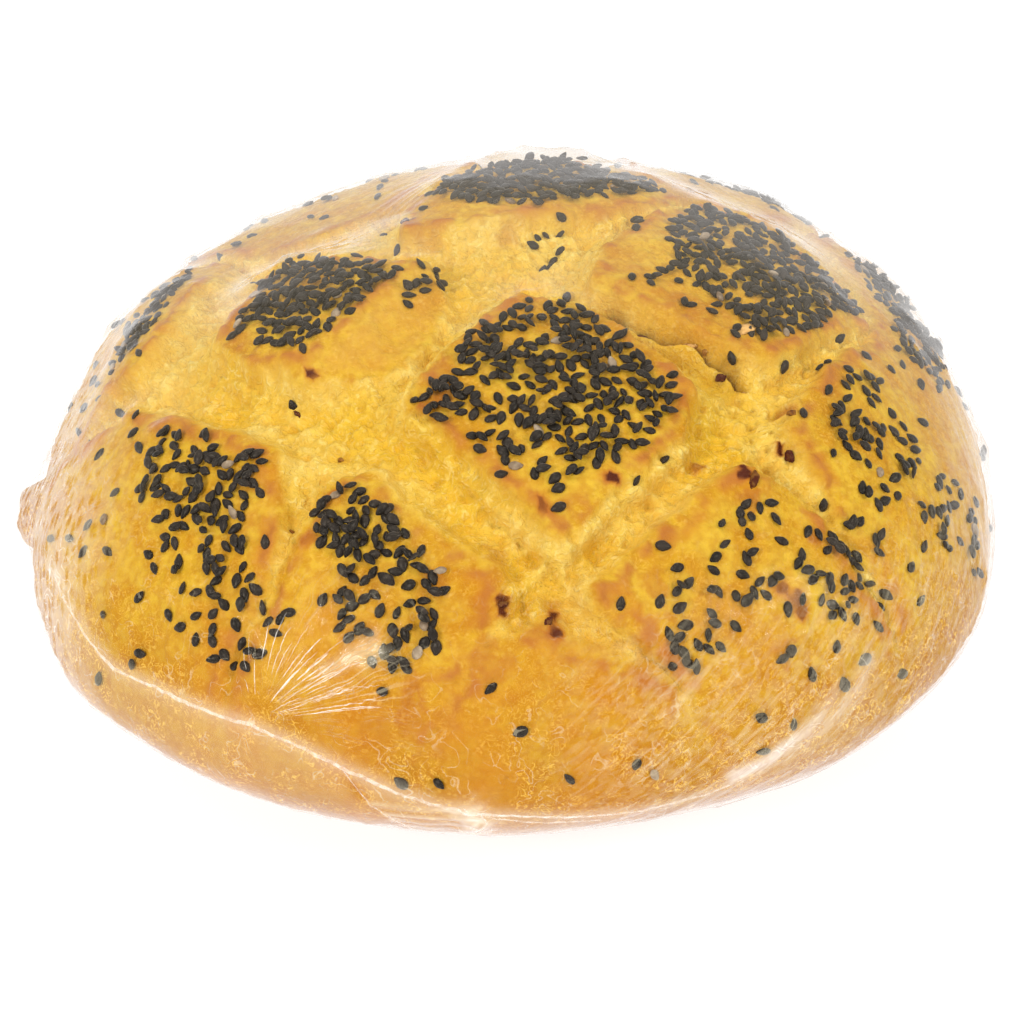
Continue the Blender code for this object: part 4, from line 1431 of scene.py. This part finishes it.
def hull(name, dark, light, rough):
    """A seed hull, each seed its own tone."""
    paint = Painter(name)
    worn = paint.mottle(900.0, 0.40, 0.75)
    tone = paint.reckon("ADD", paint.attribute("tone"), worn)
    share = paint.reckon("MULTIPLY", tone, 0.5, clamp=True)
    return paint.finish(Base_Color=paint.blend(share, srgb(*dark), srgb(*light)),
                        Roughness=paint.span(worn, 0.0, 1.0, rough, rough + 0.15),
                        Specular_IOR_Level=0.26, Specular_Tint=(1.0, 0.88, 0.74, 1.0),
                        Sheen_Weight=0.18, Sheen_Roughness=0.30,
                        Sheen_Tint=(1.0, 0.84, 0.66, 1.0))


def black_hull():
    """Black sesame."""
    return hull("black_sesame_hull", (18, 15, 13), (54, 46, 40), 0.36)


def pale_hull():
    """Sesame that lost its dark hull in baking."""
    return hull("pale_sesame_hull", (118, 96, 74), (192, 172, 144), 0.45)


def crumb_material():
    """Torn flakes, from tan to burnt."""
    paint = Painter("baked_crumbs")
    grit = paint.mottle(900.0, 0.35, 0.65)
    patchy = paint.reckon("MULTIPLY_ADD", grit, 0.3, -0.15)
    tone = paint.reckon("ADD", paint.attribute("tone"), patchy, clamp=True)
    colour = paint.blend(paint.span(tone, 0.0, 0.5), srgb(226, 176, 104), srgb(150, 100, 32))
    return paint.finish(Base_Color=paint.over(colour, (paint.span(tone, 0.4, 1.0), (74, 26, 12))),
                        Roughness=paint.span(grit, 0.0, 1.0, 0.55, 0.80),
                        Specular_IOR_Level=0.20)


def film_material():
    """Clear film: a mirror as strong as its reflection, whiter where it is doubled or crumpled,
    with painted sheen at low angles and behind the crown, and painted glints along its creases.
    """
    paint = Painter("clear_stretch_film")
    low, fan, veined, across, along, band, back = [
        paint.attribute(name)
        for name in ("low", "fan", "veined", "across", "along", "band", "back")]
    place = paint.place()
    facing = paint.made("ShaderNodeLayerWeight", "Facing", Blend=0.5)
    strength = paint.times(paint.span(low, 0.0, 1.0, 0.14, 0.22),
                           paint.span(veined, 0.0, 1.0, 1.0, 0.35))
    mirror = paint.times(paint.made("ShaderNodeFresnel", "Fac", IOR=1.27), strength)

    creases = paint.made("ShaderNodeTexNoise", "Fac", {"noise_dimensions": "1D"},
                         W=paint.attribute("fan_angle"), Scale=34.0, Detail=3.0, Roughness=0.75)
    fans = paint.times(paint.span(creases, 0.50, 0.60), fan)
    # Painted glints along the fan's creases.
    crease_glints = paint.times(fans, paint.mottle(130.0, 0.36, 0.58, detail=1.0, shift=4.0))

    flat = {"noise_dimensions": "2D"}
    flow, drawn = [paint.made("ShaderNodeCombineXYZ", "Vector", X=across,
                              Y=paint.times(along, length)) for length in (0.10, 0.46)]
    strands = paint.grain(flow, 620.0, 3.0, flat, Roughness=0.65, Distortion=0.6)
    patches = paint.grain(drawn, 700.0, 1.5, flat, Roughness=0.5, Distortion=0.7)
    # Streaks on the right: painted sheen in pale patches and painted glints along thin lines.
    pale = paint.times(paint.span(patches, 0.36, 0.60), 0.10)
    streak_sheen = paint.reckon("MULTIPLY_ADD", paint.span(strands, 0.54, 0.64), 0.12, pale)
    streak_sheen = paint.times(streak_sheen, paint.attribute("streaky"))

    slits = paint.made("ShaderNodeTexVoronoi", "Distance", {"voronoi_dimensions": "2D"},
                       Vector=drawn, Scale=350.0, Randomness=1.0)
    milk = paint.span(paint.reckon("MULTIPLY_ADD", patches, 0.6, slits), 0.40, 0.76)
    thin = paint.span(paint.ridge(place, 230.0, 1.0), 0.020, 0.004)
    web = paint.reckon("MULTIPLY_ADD", thin, 0.20, paint.reckon("MULTIPLY_ADD", milk, 0.27, 0.02))
    # Painted sheen where the film stands off the crust on the veined side, with painted glints
    # along its thin lines.
    vein_sheen = paint.times(web, veined)
    # Painted glints: short thin arcs of white over the lower film.
    arc_glints = paint.times(thin, paint.mottle(210.0, 0.44, 0.60, detail=1.0, shift=7.0))

    # White that grows at low angles: a painted reflection of the white surround, weaker on the
    # veined side.
    haze_and_glints = paint.times(paint.reckon("POWER", facing, 6.0),
                       paint.span(veined, 0.0, 1.0, 0.90, 0.22))
    # Of these masks, the film below the fold, in the bands and in the pleats whitens for real,
    # being doubled or crumpled; the rest are painted light: sheen behind the crown, a highlight,
    # and glints and sheen on the creases, streaks, veins and arcs.
    for mask, weight in ((paint.attribute("below_fold"), 0.13), (band, 0.50),
                         (paint.attribute("pleats"), 0.58), (back, 0.17),
                         (paint.attribute("glare"), 0.34), (crease_glints, 0.27), (streak_sheen, 1.0),
                         (vein_sheen, 1.0), (paint.times(arc_glints, low), 0.22)):
        haze_and_glints = paint.reckon("ADD", haze_and_glints, paint.times(mask, weight))
    haze_and_glints = paint.reckon("ADD", haze_and_glints, 0.002, clamp=True)
    clear = paint.times(paint.reckon("SUBTRACT", 1.0, mirror), paint.reckon("SUBTRACT", 1.0, haze_and_glints))
    # Cool white for the painted reflection at low angles and behind the crown, and for the doubled
    # bands; warm elsewhere.
    cool = paint.reckon("MAXIMUM", paint.span(facing, 0.35, 0.75), back)
    cool = paint.reckon("MAXIMUM", cool, paint.times(band, 0.9), clamp=True)

    ripples = paint.times(paint.grain(place, 190.0, 2.0), 0.8)
    height = paint.reckon("MULTIPLY_ADD", fans, 0.8, ripples)
    bump = paint.made("ShaderNodeBump", "Normal", Strength=0.7, Distance=0.0010, Height=height)
    return paint.finish(
        Alpha=paint.reckon("SUBTRACT", 1.0, clear, clamp=True),
        Metallic=paint.reckon("DIVIDE", mirror, paint.reckon("ADD", mirror, haze_and_glints), clamp=True),
        Base_Color=paint.blend(cool, (1.0, 0.87, 0.58, 1.0), (0.97, 0.935, 0.905, 1.0)),
        Roughness=0.10, Normal=bump)


def fold_material():
    """Doubled and crimped film: hazier, with bright flecks."""
    paint = Painter("crimped_stretch_film")
    fleck = paint.mottle(900.0, 0.40, 0.62, detail=4.0)
    facing = paint.made("ShaderNodeLayerWeight", "Facing", Blend=0.5)
    body = paint.reckon("MULTIPLY_ADD", fleck, 0.23, paint.attribute("milky"))
    # Whiter at low angles: a painted reflection; the flecks and milkiness are the doubled film.
    return paint.finish(Alpha=paint.reckon("MULTIPLY_ADD", facing, 0.12, body, clamp=True),
                        Base_Color=(1.0, 0.94, 0.84, 1.0), Roughness=0.25)


# --- studio -----------------------------------------------------------------------------------

WHITE = (1.0, 1.0, 1.0, 1.0)
# The surround lights the loaf less than the camera sees it.
SURROUND_LIGHT = 0.66
FLOOR_REACH = 4.0
FLOOR_GAP = 0.0002
# Lamps: towards where, how far, how wide and how strong.
LAMPS = {
    "front_left": ((-0.50, -0.68, 0.54), 1.1, 0.28, 4.6),
    "front_right": ((0.66, -0.47, 0.58), 1.1, 0.28, 3.2),
    "above": ((-0.1, 0.15, 1.0), 1.2, 0.9, 3.9),
}
LAMP_AIM = (0.0, 0.0, 0.05)


def make_camera():
    """The photograph's view."""
    data = bpy.data.cameras.new("camera")
    data.lens, data.sensor_width = VIEW_LENS, VIEW_SENSOR
    data.shift_x, data.shift_y = VIEW_SHIFT
    camera = in_scene("camera", data)
    camera.location = (VIEW_AIM[0], VIEW_AIM[1] - VIEW_AWAY * math.cos(VIEW_DOWN),
                       VIEW_AIM[2] + VIEW_AWAY * math.sin(VIEW_DOWN))
    camera.rotation_euler = (math.pi / 2 - VIEW_DOWN, 0.0, 0.0)
    bpy.context.scene.camera = camera


def softbox(name, towards, away, size, power):
    """A square lamp that looks at the loaf from a direction."""
    data = bpy.data.lights.new(name, "AREA")
    data.shape, data.size, data.energy = "SQUARE", size, power
    lamp = in_scene(name, data)
    direction = Vector(towards).normalized()
    lamp.location = direction * away + Vector(LAMP_AIM)
    lamp.rotation_euler = direction.to_track_quat("Z", "Y").to_euler()


def make_studio():
    """Pale floor, white surround and soft lamps."""
    world = bpy.data.worlds.new("white_surround")
    world.use_nodes = True
    sky = Wiring(world.node_tree)
    background = world.node_tree.nodes["Background"].inputs
    seen = sky.made("ShaderNodeLightPath", "Is Camera Ray")
    sky.feed(background["Color"], WHITE)
    sky.feed(background["Strength"], sky.made("ShaderNodeMapRange", "Result", Value=seen,
                                              To_Min=SURROUND_LIGHT, To_Max=1.0))
    bpy.context.scene.world = world
    bpy.context.scene.view_settings.view_transform = "Standard"

    mesh = bpy.data.meshes.new("floor")
    corners = [(x * FLOOR_REACH, y * FLOOR_REACH, 0.0)
               for x, y in ((-1, -1), (1, -1), (1, 1), (-1, 1))]
    mesh.from_pydata(corners, [], [(0, 1, 2, 3)])
    mesh.materials.append(Painter("pale_floor").finish(
        Base_Color=(0.40, 0.40, 0.40, 1.0), Roughness=0.9, Emission_Color=WHITE,
        Emission_Strength=0.80))
    floor = in_scene("floor", mesh)
    floor.location.z = -FLOOR_GAP
    for name, lamp in LAMPS.items():
        softbox(name, *lamp)


def let_light_through(piece):
    """Film this thin casts no shadow worth seeing and lights nothing."""
    piece.visible_shadow = piece.visible_diffuse = piece.visible_glossy = False


def finish_pieces(pieces):
    """Attach each piece to the body that it rides on, and hide the frame's part."""
    for piece in pieces:
        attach(piece, BODY)
        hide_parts(NODE)


def main():
    """Dress the frame."""
    noise.seed_set(NOISE_SEED)
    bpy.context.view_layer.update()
    make_camera()
    share, azimuth, _ = ring_mesh(PLAIN_SPACINGS)
    plain = loaf_point(share, azimuth)
    outward = plain / np.linalg.norm(plain, axis=1, keepdims=True)
    shift = centre_shift(plain + outward * knob_rise(plain)[:, None])
    loaf = make_loaf(shift)
    crumbs = make_crumbs(loaf, shift)
    places = seed_layout(loaf, shift)
    seeds = make_seeds(places)
    film = make_film(shift, places)
    folds = make_folds(film, shift)
    for piece in (film, folds):
        let_light_through(piece)
    make_studio()
    finish_pieces([loaf, crumbs, *seeds, film, folds])


main()
